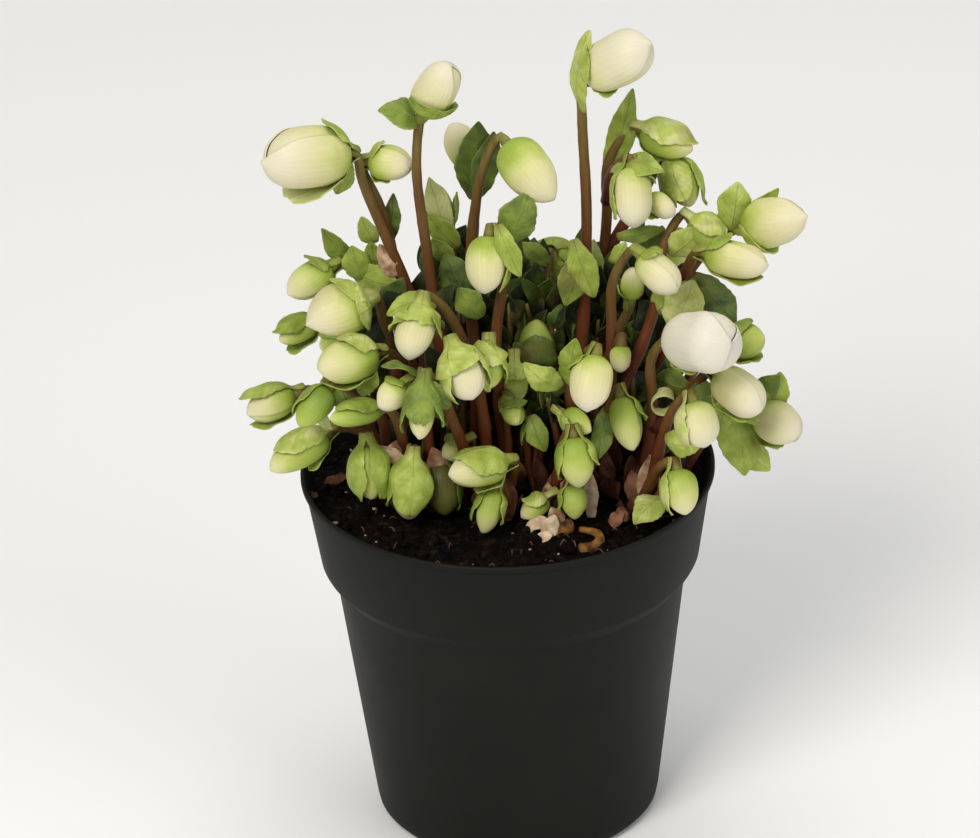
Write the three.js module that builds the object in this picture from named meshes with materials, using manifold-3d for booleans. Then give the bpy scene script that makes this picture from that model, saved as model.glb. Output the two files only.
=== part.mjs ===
// A christmas rose (hellebore) in bud, growing in a tapered nursery pot.
// Millimetres, +Z up. The origin is the middle of the pot's base, on the floor, and -Y is the front.
import * as THREE from 'three';
import { mergeVertices } from 'three/addons/utils/BufferGeometryUtils.js';
import Module from 'manifold-3d';

const wasm = await Module();
wasm.setup();

// Driving dimensions.
const GAP = 0.35;                 // clearance kept between neighbouring pieces
const TRIM = 0.33;                // clearance left where a blade is trimmed round a neighbour
const ROUND = 28;                 // sides of the pot and the soil
const RIM_RADIUS = 60;
const POT_HEIGHT = 110;
const LIP_HEIGHT = 2;
const LIP_WIDTH = 1;
const STEP_TOP = 82.5;            // where the collar ends and the chamfer starts
const STEP_BOTTOM = 78;
const COLLAR_FOOT_RADIUS = 55;
const BODY_TOP_RADIUS = 51;
const BODY_FOOT_RADIUS = 41.5;
const BASE_RADIUS = 37.5;
const CORNER_HEIGHT = 4.5;
const WALL = 1.3;
const DRAIN_COUNT = 6;
const DRAIN_RADIUS = 4;
const DRAIN_CIRCLE = 26;
const DRAIN_SIDES = 8;
const SOIL_EDGE = 102.5;          // height of the soil at the pot's wall
const SOIL_MOUND = 3;             // how much higher it is in the middle
const SOIL_CLODS = 0.8;           // how much its surface rises and falls
const SOIL_RINGS = [42, 24];      // radii of the rings of points on its surface
const ROOT_DEPTH = 14;            // how far a leafy stem's foot is sunk in the soil
const ROOT_RADIUS = 4.3;
const ROOT_SIDES = 6;
const ROOT_TOP = 3.5;             // how far a foot stands out of the soil
const HOLE_TOP = 6;               // how far the cutter of its hole does
const STEM_RADIUS = 1.8;
const STALK_SIDES = 5;
const FOOT_SPREAD = 2.4;          // from the middle of a foot to each stalk that rises from it
const STALK_RISE = 2;             // height over the soil at which a stalk leaves its foot
const SEAT_WIDENING = 1.4;        // how much wider a stalk ends, under its bud
const SEAT_REACH = 1.5 * STEM_RADIUS;
const NECK = 4.5;                 // straight length of stalk behind a bud
const BLADE = 0.8;                // thickness of a bract or leaf
const SHORT_REACH = 0.92;         // a bract that reaches less far has one row of points less
const BRACT_CLEARANCE = 0.9;      // from a bud's surface to the middle of a bract around it
const BRACT_START = 0.6;          // how far behind the base of its bud a bract is full
const BRACT_ROOT = 3;             // how far behind it is rooted
const BRACT_ROOT_DEPTH = 0.8;     // from the stalk's middle line to its root
const BRACT_ROOT_WIDTH = 0.7;
const BRACT_WAVE = 0.5;
const LEAF_ROOT_WIDTH = 1.3;
const LEAF_DROOP = 0.22;          // how far a leaf's edges hang, for its width
const SMALL_LEAF = 4;             // a leaf of less half width has one row of points less

const LEFT = [-1, 0, 0];
const RIGHT = [1, 0, 0];
const FRONT = [0, -1, 0];
const BACK = [0, 1, 0];
const UP = [0, 0, 1];
const DOWN = [0, 0, -1];

// A bract cupped round its bud: the side it grows on, how far it reaches along the bud (1 is the tip),
// half the angle it covers in degrees, and how far its tip stands off in millimetres.
function cup(side, reach, spread, flare) {
  return { side, reach, spread, flare };
}

// A free leaf: where it leaves its stalk, its tip, half its width, the way its face looks,
// and how far its middle arches that way.
function leaf(from, to, halfWidth, facing, arch) {
  return { from, to, halfWidth, facing, arch };
}

// A flower in bud: the places its stalk passes, the base and the tip of the bud, and its radius.
function flower(colour, via, base, tip, radius, bracts = []) {
  return { colour, via, base, tip, radius, bracts, branch: false };
}

// A flower whose stalk starts on its neighbour's stalk, at the first place of its list.
function branch(...values) {
  return { ...flower(...values), branch: true };
}

// The leafy stems: where each stands in the soil, and what it carries.
const leafyStems = [
  {
    root: [-20, 16],
    flowers: [
      flower('white', [[-26, 10, 160], [-33, 8, 183], [-38.5, 7, 200]], [-43, 6, 210], [-66, -6, 215], 8.7,
        [cup(DOWN, 0.75, 40, 1)]),
      flower('white', [[-29, 16, 157], [-33, 13, 186]], [-36, 12, 204], [-24, 8, 205], 5,
        [cup(DOWN, 0.4, 45, 0)]),
    ],
    leaves: [leaf([-31.5, 14.5, 177], [-30, 17, 191], 2.6, FRONT, 1)],
  },
  {
    root: [-11, 3],
    flowers: [
      flower('white', [[-19, 8, 154], [-21, 6, 178], [-23, 5, 205]], [-20, 4, 224], [-12, -2, 241], 5.9,
        [cup([0.5, -0.85, 0], 0.35, 75, 0.5)]),
      flower('white', [[-9, -6, 143], [-13, -9, 160], [-18, -13, 171]], [-23, -18, 173], [-27, -28, 161],
        5.2, [cup(LEFT, 0.55, 65, 1.5), cup(RIGHT, 0.5, 50, 2)]),
    ],
    leaves: [
      leaf([-22, 5, 219], [-34, 2, 224], 4.5, [0, -0.5, 1], 3),
      leaf([-19, -14, 171.5], [-33, -20, 171], 4.5, [0, -0.6, 1], 3.5),
    ],
  },
  {
    root: [-6, 24],
    flowers: [
      flower('white', [[-9, 28, 150], [-7, 30, 175]], [-7, 31, 192], [-13, 34, 204], 4.9),
      flower('white', [[-9, 16, 158], [-7, 11, 187], [-3, 9, 205]], [3, 8, 210], [16, -4, 198], 6.8),
      flower('white', [[-12, 25, 152], [-14, 22, 169]], [-15, 22, 177], [-19, 25, 190], 3.7,
        [cup(LEFT, 0.5, 50, 1), cup(RIGHT, 0.6, 50, 1.5)]),
    ],
    leaves: [leaf([-7, 30, 181], [-5, 22, 210.5], 6.4, FRONT, 2)],
  },
  {
    root: [20, 9],
    flowers: [
      flower('white', [[23, 10, 148], [25, 7, 187], [24.5, 5.5, 219]], [27, 5, 232.5], [44, -4, 246.5],
        7.4),
      flower('white', [[32, 7, 146]], [37, 5, 161], [38, 4, 171], 3.2),
    ],
    leaves: [
      leaf([24, 5.5, 219], [27, 5, 248.5], 3.4, [-0.8, -0.6, 0], 3),
      leaf([24, 8, 176], [18, 3, 160], 5, FRONT, 2),
    ],
  },
  {
    root: [27, 20],
    flowers: [
      flower('green', [[28, 21, 146], [31, 21, 179], [32, 21, 197]], [42, 22, 206], [56, 16, 202], 4.9,
        [cup(UP, 0.9, 65, 0.5)]),
      branch('white', [[31, 21, 184], [33, 14, 197]], [38, 6, 202], [38, -4, 188], 5.3,
        [cup(LEFT, 0.45, 45, 0.5), cup(RIGHT, 0.45, 50, 1)]),
      branch('green', [[29.5, 21, 165], [42, 23, 186]], [50, 20, 197], [55, 14, 185], 4.9,
        [cup(RIGHT, 1.1, 45, 2), cup([-1, -0.6, 0], 0.9, 50, 1.5)]),
    ],
    leaves: [
      leaf([31.5, 21, 192], [36, 18, 221], 3.8, FRONT, 1.5),
      leaf([32.5, 12, 199], [47.5, 0, 203], 5.2, [0, -0.5, 1], 3.5),
    ],
  },
  {
    root: [41, 10],
    flowers: [
      flower('white', [[50, 13, 155], [61, 10, 175]], [71, 6, 182], [87, -4, 190], 7.2),
      branch('white', [[50, 13, 155], [54, 0, 174]], [59, -6, 180], [76, -14, 180], 5.2,
        [cup(DOWN, 0.9, 50, 1)]),
    ],
    leaves: [
      leaf([66, 8, 179.5], [68.5, 6, 196.5], 5, FRONT, 1),
      leaf([69, 7, 181], [80, 6, 194], 3.4, FRONT, 1),
      leaf([55, 12, 164], [67, 5, 151], 5.5, [0.3, -1, 0.3], 2),
    ],
  },
  {
    root: [30, -2],
    flowers: [
      flower('white', [[31, -6, 156], [32, -8, 174]], [40, -12, 183], [50, -20, 176], 4.8),
      branch('green', [[30.5, -4, 128], [43, 3, 156], [47, 5, 178]], [55, 8, 183.5], [64, 2, 178], 4.3,
        [cup(UP, 0.9, 65, 0.5)]),
      branch('white', [[31, -6, 145], [33, -7, 153]], [33.6, -9.5, 153], [33, -12, 146], 2.9),
    ],
    leaves: [leaf([43.5, 3, 157], [54, 0, 168], 6, FRONT, 1.5)],
  },
  {
    root: [38, -15],
    flowers: [
      flower('white', [[42, -14, 135], [42, -16, 152]], [48, -21, 160.5], [64.5, -38.5, 168.5], 8),
      branch('white', [[41.5, -14, 128], [54, -14, 141]], [61, -18, 147], [73, -30, 142], 5.9,
        [cup(DOWN, 0.8, 45, 1.5)]),
      flower('white', [[44, -22, 128], [48, -29, 143]], [53, -34, 147], [56, -42, 137], 5.6,
        [cup(LEFT, 1, 45, 1)]),
      flower('white', [[41, -23, 116], [44, -28, 124]], [48, -30, 123], [50, -38, 113], 4.9,
        [cup(LEFT, 0.8, 40, 1)]),
    ],
    leaves: [
      leaf([57, -15, 144], [53, -20, 133], 4, [-0.3, -1, 0], 1),
      leaf([41, -23, 114], [35, -30, 107], 4, [0, -0.4, 1], 1.5),
    ],
  },
  {
    root: [46, -2],
    flowers: [
      flower('white', [[60, -1, 122], [67, -3, 130]], [73, -6, 128], [84, -16, 125], 5.9,
        [cup(DOWN, 0.6, 45, 1)]),
      flower('green', [[53, 4, 134], [60, 4, 143]], [65, 4, 145], [75, 0, 149], 4.9,
        [cup(UP, 0.8, 60, 1)]),
    ],
    leaves: [
      leaf([70, -4, 129], [79, -8, 141], 4, [-0.4, -1, 0.3], 1),
      leaf([66, -2.5, 129], [68, -14, 111.5], 6.8, [0.3, -1, 0.3], 2),
      leaf([56, 4, 139], [49, 2, 164], 5, FRONT, 1.5),
    ],
  },
  {
    root: [14, -13],
    flowers: [
      flower('white', [[19, -14, 127], [19, -22, 152]], [26, -30, 161], [23, -40, 149], 5.9),
      flower('white', [[26, -13, 126], [30, -17, 138]], [33, -20, 142], [36, -28, 129], 4.2,
        [cup(RIGHT, 0.5, 45, 0.5)]),
      flower('green', [[15, -20, 120], [16, -26, 131]], [19, -30, 135], [20, -36, 122], 4.9,
        [cup(LEFT, 0.8, 50, 0.5)]),
      flower('green', [[16.5, -19, 112]], [18.5, -26, 117], [18.5, -31, 109], 3.4,
        [cup(LEFT, 0.8, 50, 0.5)]),
    ],
    leaves: [
      leaf([19, -21, 147], [20.5, -27, 165.5], 4.6, [-0.4, -1, 0], 2),
      leaf([29, -16, 137], [26, -27, 126], 3.6, [-0.3, -1, 0.2], 1),
    ],
  },
  {
    root: [-4, -16],
    flowers: [
      flower('white', [[1, -20, 117]], [-1, -27, 126], [-17, -35, 127], 5.2,
        [cup(UP, 0.75, 80, 0.5), cup(DOWN, 0.9, 40, 1)]),
      flower('green', [[0, -21, 108]], [-3, -27, 116], [-7, -32, 107.5], 4,
        [cup(LEFT, 0.8, 50, 0.5)]),
      flower('white', [[-15, -24, 138], [-19, -32, 154]], [-23, -36, 158], [-25, -42, 143], 4,
        [cup(FRONT, 0.75, 65, 0.5), cup(LEFT, 0.9, 45, 2)]),
      flower('white', [[-7, -17, 141], [-10, -23, 158]], [-14, -28, 164], [-9, -38, 153], 5.8,
        [cup(LEFT, 0.95, 60, 2), cup(RIGHT, 0.95, 45, 2)]),
    ],
    leaves: [],
  },
  {
    root: [-20, -12],
    flowers: [
      flower('green', [[-25, -16, 120]], [-27, -23, 126], [-29, -28, 109], 5.5,
        [cup(FRONT, 0.8, 55, 0.5)]),
      flower('green', [[-17, -14, 115]], [-19, -18.5, 121.5], [-18.5, -22.5, 107], 4.9,
        [cup(RIGHT, 0.9, 50, 0.5)]),
      flower('white', [[-23, -18, 136], [-25, -27, 151]], [-29, -31, 154], [-36, -37, 151], 4,
        [cup(UP, 0.4, 50, 0)]),
    ],
    leaves: [],
  },
  {
    root: [-32, -7],
    flowers: [
      flower('green', [[-36, -12, 120]], [-40, -20, 129], [-39, -26, 115], 5,
        [cup([-0.8, -0.6, 0], 1, 50, 1.5), cup([0.8, -0.6, 0], 1, 50, 1)]),
      flower('green', [[-36, -6, 122], [-43, -8, 128]], [-52, -12, 129], [-68, -20, 122], 4.9,
        [cup(UP, 0.8, 65, 0.5)]),
      flower('green', [[-36, -14, 136], [-44, -21, 148]], [-50, -24, 150], [-59, -30, 142], 4.3,
        [cup(LEFT, 0.9, 55, 0.5)]),
      flower('green', [[-30, -17, 130]], [-36, -26, 144], [-50, -36, 147], 3.7,
        [cup(UP, 0.9, 60, 0.5)]),
    ],
    leaves: [],
  },
  {
    root: [-30, 7],
    flowers: [
      flower('white', [[-40, 2, 126], [-50, -4, 138]], [-61, -6, 139], [-74, -12, 136], 4.5,
        [cup(UP, 1.1, 55, 2), cup(DOWN, 1, 35, 1)]),
      flower('white', [[-32, 4, 135], [-34, 0, 157]], [-39, -8, 170], [-55, -16, 167], 7.5),
      branch('white', [[-32, 4, 132], [-31, -9, 151]], [-37, -18, 158], [-53, -28, 159], 6.3,
        [cup(DOWN, 0.9, 55, 1)]),
    ],
    leaves: [],
  },
  {
    root: [2, -3],
    flowers: [
      flower('white', [[-2, 0, 151], [1, -2, 178]], [-3, -8, 189], [-5, -16, 175], 5.5,
        [cup(RIGHT, 0.95, 40, 1.5)]),
      flower('green', [[-2, -9, 137], [-2, -15, 155]], [-4, -20, 160], [-4, -26, 150], 3.7,
        [cup(RIGHT, 0.9, 50, 1.5)]),
      flower('green', [[4, -2, 136]], [3, -5, 146], [3, -12, 137], 3.5),
    ],
    leaves: [leaf([1, -4, 184], [9, -4, 201], 6, FRONT, 2)],
  },
  {
    root: [-33, 19],
    flowers: [
      flower('white', [[-34, 18, 150], [-42, 15, 167]], [-49, 12, 170], [-61, 6, 165], 4.9,
        [cup(UP, 0.45, 55, 1)]),
      branch('green', [[-34, 18, 132], [-45, 12, 150]], [-54, 8, 155], [-64, 2, 152], 3.7,
        [cup(UP, 1.1, 55, 2)]),
    ],
    leaves: [
      leaf([-41, 15.3, 166], [-51, 15, 181.6], 2.6, FRONT, 1),
      leaf([-43.5, 14.5, 168.5], [-29, 8, 166], 6, FRONT, 2),
    ],
  },
  {
    root: [10, 6],
    flowers: [flower('green', [[10, 8, 122]], [10, 10, 136], [10, 12, 151], 5, [cup(FRONT, 0.8, 65, 0.5)])],
    leaves: [],
  },
  {
    root: [8, 36],
    flowers: [
      flower('white', [[9, 38, 132], [12, 41, 148]], [15, 46, 154], [17, 56, 144], 5.5,
        [cup(UP, 0.6, 60, 1)]),
      flower('green', [[2, 40, 128], [-2, 46, 142]], [-4, 51, 144], [-8, 58, 135], 4.5,
        [cup(UP, 0.7, 60, 1)]),
    ],
    leaves: [leaf([8, 38, 134], [16, 46, 144], 5, BACK, 1.5)],
  },
  {
    root: [-19, 33],
    flowers: [
      flower('white', [[-22, 36, 130], [-27, 40, 145]], [-31, 44, 149], [-38, 52, 141], 5.5,
        [cup(UP, 0.6, 60, 1)]),
      flower('green', [[-26, 35, 122], [-37, 37, 132]], [-43, 39, 133], [-53, 44, 127], 4.5,
        [cup(UP, 0.8, 60, 1)]),
    ],
    leaves: [leaf([-20, 35, 130], [-13, 43, 146], 4.5, BACK, 1.5)],
  },
  {
    root: [33, 34],
    flowers: [
      flower('white', [[37, 37, 134], [42, 40, 151]], [47, 43, 156], [56, 50, 148], 5.7,
        [cup(UP, 0.5, 60, 1)]),
      flower('green', [[41, 36, 122], [51, 36, 132]], [57, 38, 134], [66, 42, 127], 4.5,
        [cup(UP, 0.8, 60, 1)]),
    ],
    leaves: [],
  },
];

const materials = {
  pot: new THREE.MeshStandardMaterial({ color: 0x252522, roughness: 0.55, metalness: 0 }),
  soil: new THREE.MeshStandardMaterial({ color: 0x1d130d, roughness: 1, metalness: 0 }),
  stem: new THREE.MeshStandardMaterial({ color: 0x6e8a3c, roughness: 0.6, metalness: 0 }),
  bud: new THREE.MeshStandardMaterial({ color: 0xebe4c8, roughness: 0.5, metalness: 0 }),
};

function vector(triple) {
  return new THREE.Vector3(...triple);
}

// Joining and cutting.
function solidOf(geometry) {
  const bare = geometry.clone();
  bare.deleteAttribute('normal');
  bare.deleteAttribute('uv');
  const merged = mergeVertices(bare, 1e-4);
  return new wasm.Manifold(new wasm.Mesh({
    numProp: 3,
    vertProperties: new Float32Array(merged.attributes.position.array),
    triVerts: new Uint32Array(merged.index.array),
  }));
}

function geometryOf(solid) {
  const mesh = solid.getMesh();
  const geometry = new THREE.BufferGeometry();
  geometry.setAttribute('position', new THREE.BufferAttribute(mesh.vertProperties, 3));
  geometry.setIndex(new THREE.BufferAttribute(mesh.triVerts, 1));
  geometry.computeVertexNormals();
  return geometry;
}

function joined(solids) {
  return solids.reduce((whole, solid) => whole.add(solid));
}

function without(solid, cutters) {
  return cutters.reduce((rest, cutter) => rest.subtract(cutter), solid);
}

// The largest piece, without the scraps that a cut leaves loose.
function mainPiece(solid) {
  const pieces = solid.decompose();
  return pieces.reduce((largest, piece) => (piece.volume() > largest.volume() ? piece : largest));
}

// A turned shape whose axis is Z; the profile holds [radius, height] points.
function turned(profile, segments = ROUND) {
  const geometry = new THREE.LatheGeometry(profile.map(([r, z]) => new THREE.Vector2(r, z)), segments);
  return geometry.rotateX(Math.PI / 2);
}

// The pot. A wall that slopes out keeps its thickness if its inner corner stands a little higher.
const COLLAR_SLOPE = (RIM_RADIUS - LIP_WIDTH - COLLAR_FOOT_RADIUS) / (POT_HEIGHT - LIP_HEIGHT - STEP_TOP);
const INNER_STEP_RISE = 0.6;

function potSolid() {
  const shell = solidOf(turned([
    [0, 0],
    [BASE_RADIUS, 0],
    [BODY_FOOT_RADIUS, CORNER_HEIGHT],
    [BODY_TOP_RADIUS, STEP_BOTTOM],
    [COLLAR_FOOT_RADIUS, STEP_TOP],
    [RIM_RADIUS - LIP_WIDTH, POT_HEIGHT - LIP_HEIGHT],
    [RIM_RADIUS, POT_HEIGHT - LIP_HEIGHT],
    [RIM_RADIUS, POT_HEIGHT],
    [RIM_RADIUS - WALL, POT_HEIGHT],
    [RIM_RADIUS - LIP_WIDTH - WALL, POT_HEIGHT - LIP_HEIGHT],
    [COLLAR_FOOT_RADIUS - WALL, STEP_TOP + INNER_STEP_RISE],
    [BODY_TOP_RADIUS - WALL, STEP_BOTTOM + INNER_STEP_RISE],
    [BODY_FOOT_RADIUS - WALL, CORNER_HEIGHT],
    [BASE_RADIUS - 1, WALL],
    [0, WALL],
  ]));
  const drains = Array.from({ length: DRAIN_COUNT }, (_, i) => {
    const angle = (i + 0.5) / DRAIN_COUNT * 2 * Math.PI;
    const drill = new THREE.CylinderGeometry(DRAIN_RADIUS, DRAIN_RADIUS, 4 * WALL, DRAIN_SIDES);
    drill.rotateX(Math.PI / 2).translate(DRAIN_CIRCLE * Math.cos(angle), DRAIN_CIRCLE * Math.sin(angle), 0);
    return solidOf(drill);
  });
  return without(shell, drains);
}

// The soil fills the pot; its top is a low mound with clods.
function soilTop(x, y) {
  const inward = 1 - Math.hypot(x, y) / RIM_RADIUS;
  const clods = Math.sin(x * 0.31 + y * 0.17) * Math.cos(y * 0.37 - x * 0.11);
  return SOIL_EDGE + SOIL_MOUND * inward + SOIL_CLODS * clods;
}

function soilSolid(feet) {
  const clear = WALL + GAP;
  const edgeRadius = COLLAR_FOOT_RADIUS - clear + (SOIL_EDGE - STEP_TOP) * COLLAR_SLOPE;
  const geometry = turned([
    [0, clear],
    [BASE_RADIUS - clear, clear],
    [BODY_FOOT_RADIUS - clear, CORNER_HEIGHT + GAP],
    [BODY_TOP_RADIUS - clear, STEP_BOTTOM + INNER_STEP_RISE + GAP],
    [COLLAR_FOOT_RADIUS - clear, STEP_TOP + INNER_STEP_RISE + GAP],
    [edgeRadius, SOIL_EDGE],
    ...SOIL_RINGS.map((radius) => [radius, SOIL_EDGE]),
    [0, SOIL_EDGE],
  ]);
  const places = geometry.attributes.position;
  for (let i = 0; i < places.count; i += 1) {
    if (places.getZ(i) === SOIL_EDGE) {
      places.setZ(i, soilTop(places.getX(i), places.getY(i)));
    }
  }
  return without(solidOf(geometry), feet);
}

// The foot of a leafy stem: a short stump sunk in its hole in the soil.
function foot(root, extra = 0) {
  const top = soilTop(...root) + (extra ? HOLE_TOP : ROOT_TOP);
  const height = ROOT_DEPTH + top - SOIL_EDGE + extra;
  const stump = new THREE.CylinderGeometry(ROOT_RADIUS + extra, ROOT_RADIUS + extra, height, ROOT_SIDES);
  return solidOf(stump.rotateX(Math.PI / 2).translate(root[0], root[1], top - height / 2));
}

// Stalks. The rings of a stalk lie closer where its points do, so a tight nod stays round.
class StalkCurve extends THREE.CatmullRomCurve3 {
  getPointAt(u, target) {
    return this.getPoint(u, target);
  }

  getTangentAt(u, target) {
    return this.getTangent(u, target);
  }
}

function tube(points, radius, steps) {
  const corners = Array.from({ length: STALK_SIDES }, (_, i) => {
    const angle = i / STALK_SIDES * 2 * Math.PI;
    return new THREE.Vector2(radius * Math.cos(angle), radius * Math.sin(angle));
  });
  return new THREE.ExtrudeGeometry(new THREE.Shape(corners), { steps, extrudePath: new StalkCurve(points) });
}

// The last ring of a stalk is widened into the seat of its bud.
function widenEnd(geometry, end, factor) {
  const places = geometry.attributes.position;
  const place = new THREE.Vector3();
  for (let i = 0; i < places.count; i += 1) {
    place.fromBufferAttribute(places, i).sub(end);
    if (place.length() < SEAT_REACH) {
      place.multiplyScalar(factor).add(end);
      places.setXYZ(i, place.x, place.y, place.z);
    }
  }
}

// Stalks that rise from one foot start apart, each on the side that it leans to.
function stalkStart(root, via, middle) {
  const start = new THREE.Vector3(root[0], root[1], soilTop(...root) + STALK_RISE);
  const lean = vector(via[0]).sub(middle).setZ(0);
  return start.addScaledVector(lean.normalize(), FOOT_SPREAD);
}

function stalk(root, { colour, via, base, tip, branch: isBranch }, middle, extra = 0) {
  const end = vector(base);
  const axis = vector(tip).sub(end).normalize();
  const start = stalkStart(root, via, middle);
  const behind = end.clone().addScaledVector(axis, -NECK);
  const points = [...(isBranch ? [] : [start]), ...via.map(vector), behind, end];
  const geometry = tube(points, STEM_RADIUS + extra, points.length - 1);
  if (colour === 'white') {
    widenEnd(geometry, end, SEAT_WIDENING);
  }
  return solidOf(geometry);
}

// Buds: an egg of overlapping sepals, closing in a point. Its profile holds [radius, place along it] in
// shares, and every other corner of its sections lies a little lower, where a sepal ends on the next.
const BUD_PROFILE = [[0, 0], [0.45, 0.01], [1, 0.26], [1, 0.56], [0.56, 0.87], [0, 1]];
const BUD_SIDES = 8;
const SMALL_BUD_SIDES = 6;
const SMALL_BUD = 5.1;            // a bud of less radius is a small one
const SEPAL_RELIEF = 0.05;
const GREEN_BUD_SINK = 0.06;      // how far a green bud is sunk in its stalk, in its own lengths

function budRadiusAt(along) {
  const after = BUD_PROFILE.findIndex(([, place]) => place >= along);
  if (after < 1) {
    return 0;
  }
  const [lowRadius, low] = BUD_PROFILE[after - 1];
  const [highRadius, high] = BUD_PROFILE[after];
  return lowRadius + (highRadius - lowRadius) * (along - low) / (high - low);
}

function bud({ base, tip, radius }, extra = 0) {
  const sides = radius < SMALL_BUD ? SMALL_BUD_SIDES : BUD_SIDES;
  const start = vector(base);
  const axis = vector(tip).sub(start);
  const length = axis.length() + extra;
  axis.normalize();
  const profile = BUD_PROFILE
    .map(([r, z]) => [r * radius + (r ? extra : 0), GAP + z * (length - GAP) - extra]);
  const geometry = turned(profile, sides);
  const places = geometry.attributes.position;
  for (let i = 0; i < places.count; i += 1) {
    const turn = Math.atan2(places.getY(i), places.getX(i)) / (2 * Math.PI) + 1;
    const relief = (Math.round(turn * sides) % 2 ? 1 : 1 - SEPAL_RELIEF) + (extra ? SEPAL_RELIEF / 2 : 0);
    places.setX(i, places.getX(i) * relief);
    places.setY(i, places.getY(i) * relief);
  }
  geometry.applyQuaternion(new THREE.Quaternion().setFromUnitVectors(vector(UP), axis));
  return solidOf(geometry.translate(...start.toArray()));
}

// The same grid with its outer points moved out.
function grown(rows, extra) {
  const away = (place, inner) => place.clone().add(place.clone().sub(inner).setLength(extra));
  const isEdge = (row, j) => j === 0 || j === row.length - 1;
  const wider = rows.map((row) => row.map((place, j) => (isEdge(row, j) ? away(place, row[1]) : place)));
  const last = wider.length - 1;
  wider[last] = wider[last].map((place, j) => away(place, rows[last - 1][j]));
  return wider;
}

// A thick sheet on a grid of points: both faces carry the same diagonals, joined round the edge.
function sheet(grid, extra) {
  const rows = extra ? grown(grid, extra) : grid;
  const thickness = BLADE + 2 * extra;
  const across = rows[0].length;
  const within = (value, count) => Math.min(Math.max(value, 0), count - 1);
  const at = (i, j) => rows[within(i, rows.length)][within(j, across)];
  const upper = [];
  const lower = [];
  rows.forEach((row, i) => row.forEach((place, j) => {
    const along = at(i + 1, j).clone().sub(at(i - 1, j));
    const over = at(i, j + 1).clone().sub(at(i, j - 1));
    const normal = along.cross(over).normalize().multiplyScalar(thickness / 2);
    upper.push(place.clone().add(normal));
    lower.push(place.clone().sub(normal));
  }));
  const count = upper.length;
  const index = [];
  const quad = (a, b, c, d) => index.push(a, b, c, a, c, d);
  for (let i = 0; i < rows.length - 1; i += 1) {
    for (let j = 0; j < across - 1; j += 1) {
      const corner = i * across + j;
      quad(corner, corner + across, corner + across + 1, corner + 1);
      index.push(corner + count, corner + across + 1 + count, corner + across + count);
      index.push(corner + count, corner + 1 + count, corner + across + 1 + count);
    }
  }
  const edge = (a, b) => quad(a, b, b + count, a + count);
  for (let j = 0; j < across - 1; j += 1) {
    edge(j, j + 1);
    edge(count - 1 - j, count - 2 - j);
  }
  for (let i = 0; i < rows.length - 1; i += 1) {
    edge((i + 1) * across, i * across);
    edge((i + 1) * across - 1, (i + 2) * across - 1);
  }
  const geometry = new THREE.BufferGeometry().setFromPoints([...upper, ...lower]);
  geometry.setIndex(index);
  return solidOf(geometry);
}

// A bract cupped round a bud, rooted in the stalk behind it. Its outline holds the widths of its rows.
const BRACT_OUTLINE = [0.8, 1, 0.8, 0.2];
const SHORT_BRACT_OUTLINE = [0.8, 1, 0.3];
const SEAT_SHARE = 0.6;           // the radius that a bract's first row goes round
const TIP_SHARE = 0.25;           // the smallest that its last row goes round

function bract({ base, tip, radius }, { side, reach, spread, flare }, extra = 0) {
  const start = vector(base);
  const axis = vector(tip).sub(start);
  const length = axis.length();
  axis.normalize();
  const outward = vector(side).projectOnPlane(axis).normalize();
  const over = axis.clone().cross(outward);
  const angle = THREE.MathUtils.degToRad(spread);
  const point = (along, away, turn) => start.clone().addScaledVector(axis, along)
    .addScaledVector(outward, away * Math.cos(turn)).addScaledVector(over, away * Math.sin(turn));
  const root = point(-BRACT_ROOT, BRACT_ROOT_DEPTH, 0);
  const foothold = [-1, 0, 1].map((j) => root.clone().addScaledVector(over, BRACT_ROOT_WIDTH * j));
  const outline = reach < SHORT_REACH ? SHORT_BRACT_OUTLINE : BRACT_OUTLINE;
  const rows = outline.map((width, i) => {
    const share = i / (outline.length - 1);
    const along = i === 0 ? -BRACT_START : reach * length * share;
    const hug = radius * (i === 0 ? SEAT_SHARE : Math.max(budRadiusAt(along / length), TIP_SHARE));
    const away = (hug + BRACT_CLEARANCE) / Math.cos(angle * width / 2) + flare * share ** 2;
    const wave = i % 2 ? BRACT_WAVE : 0;
    return [-1, 0, 1].map((j) => point(along, away + wave * Math.abs(j), j * angle * width));
  });
  return sheet([foothold, ...rows], extra);
}

// A free leaf, cupped a little. Its outline holds the widths of its rows, and its waves how far the
// edges of each stand up.
const LEAF_OUTLINE = [0, 0.8, 1, 0.72, 0.14];
const LEAF_WAVES = [0, 0.9, -0.2, 0.9, 0];
const SMALL_LEAF_OUTLINE = [0, 0.9, 0.9, 0.14];
const SMALL_LEAF_WAVES = [0, 0.6, 0, 0];

function freeLeaf({ from, to, halfWidth, facing, arch }, extra = 0) {
  const start = vector(from);
  const end = vector(to);
  const along = end.clone().sub(start).normalize();
  const normal = vector(facing).projectOnPlane(along).normalize();
  const over = normal.clone().cross(along);
  const middle = start.clone().lerp(end, 0.5).addScaledVector(normal, 2 * arch);
  const curve = new THREE.QuadraticBezierCurve3(start, middle, end);
  const small = halfWidth < SMALL_LEAF;
  const outline = small ? SMALL_LEAF_OUTLINE : LEAF_OUTLINE;
  const waves = small ? SMALL_LEAF_WAVES : LEAF_WAVES;
  const rows = outline.map((share, i) => {
    const width = i ? halfWidth * share : LEAF_ROOT_WIDTH;
    const place = curve.getPoint(i / (outline.length - 1));
    return [-1, 0, 1].map((j) => place.clone().addScaledVector(over, j * width)
      .addScaledVector(normal, -Math.abs(j) * (LEAF_DROOP * width - waves[i])));
  });
  return sheet(rows, extra);
}

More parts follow.
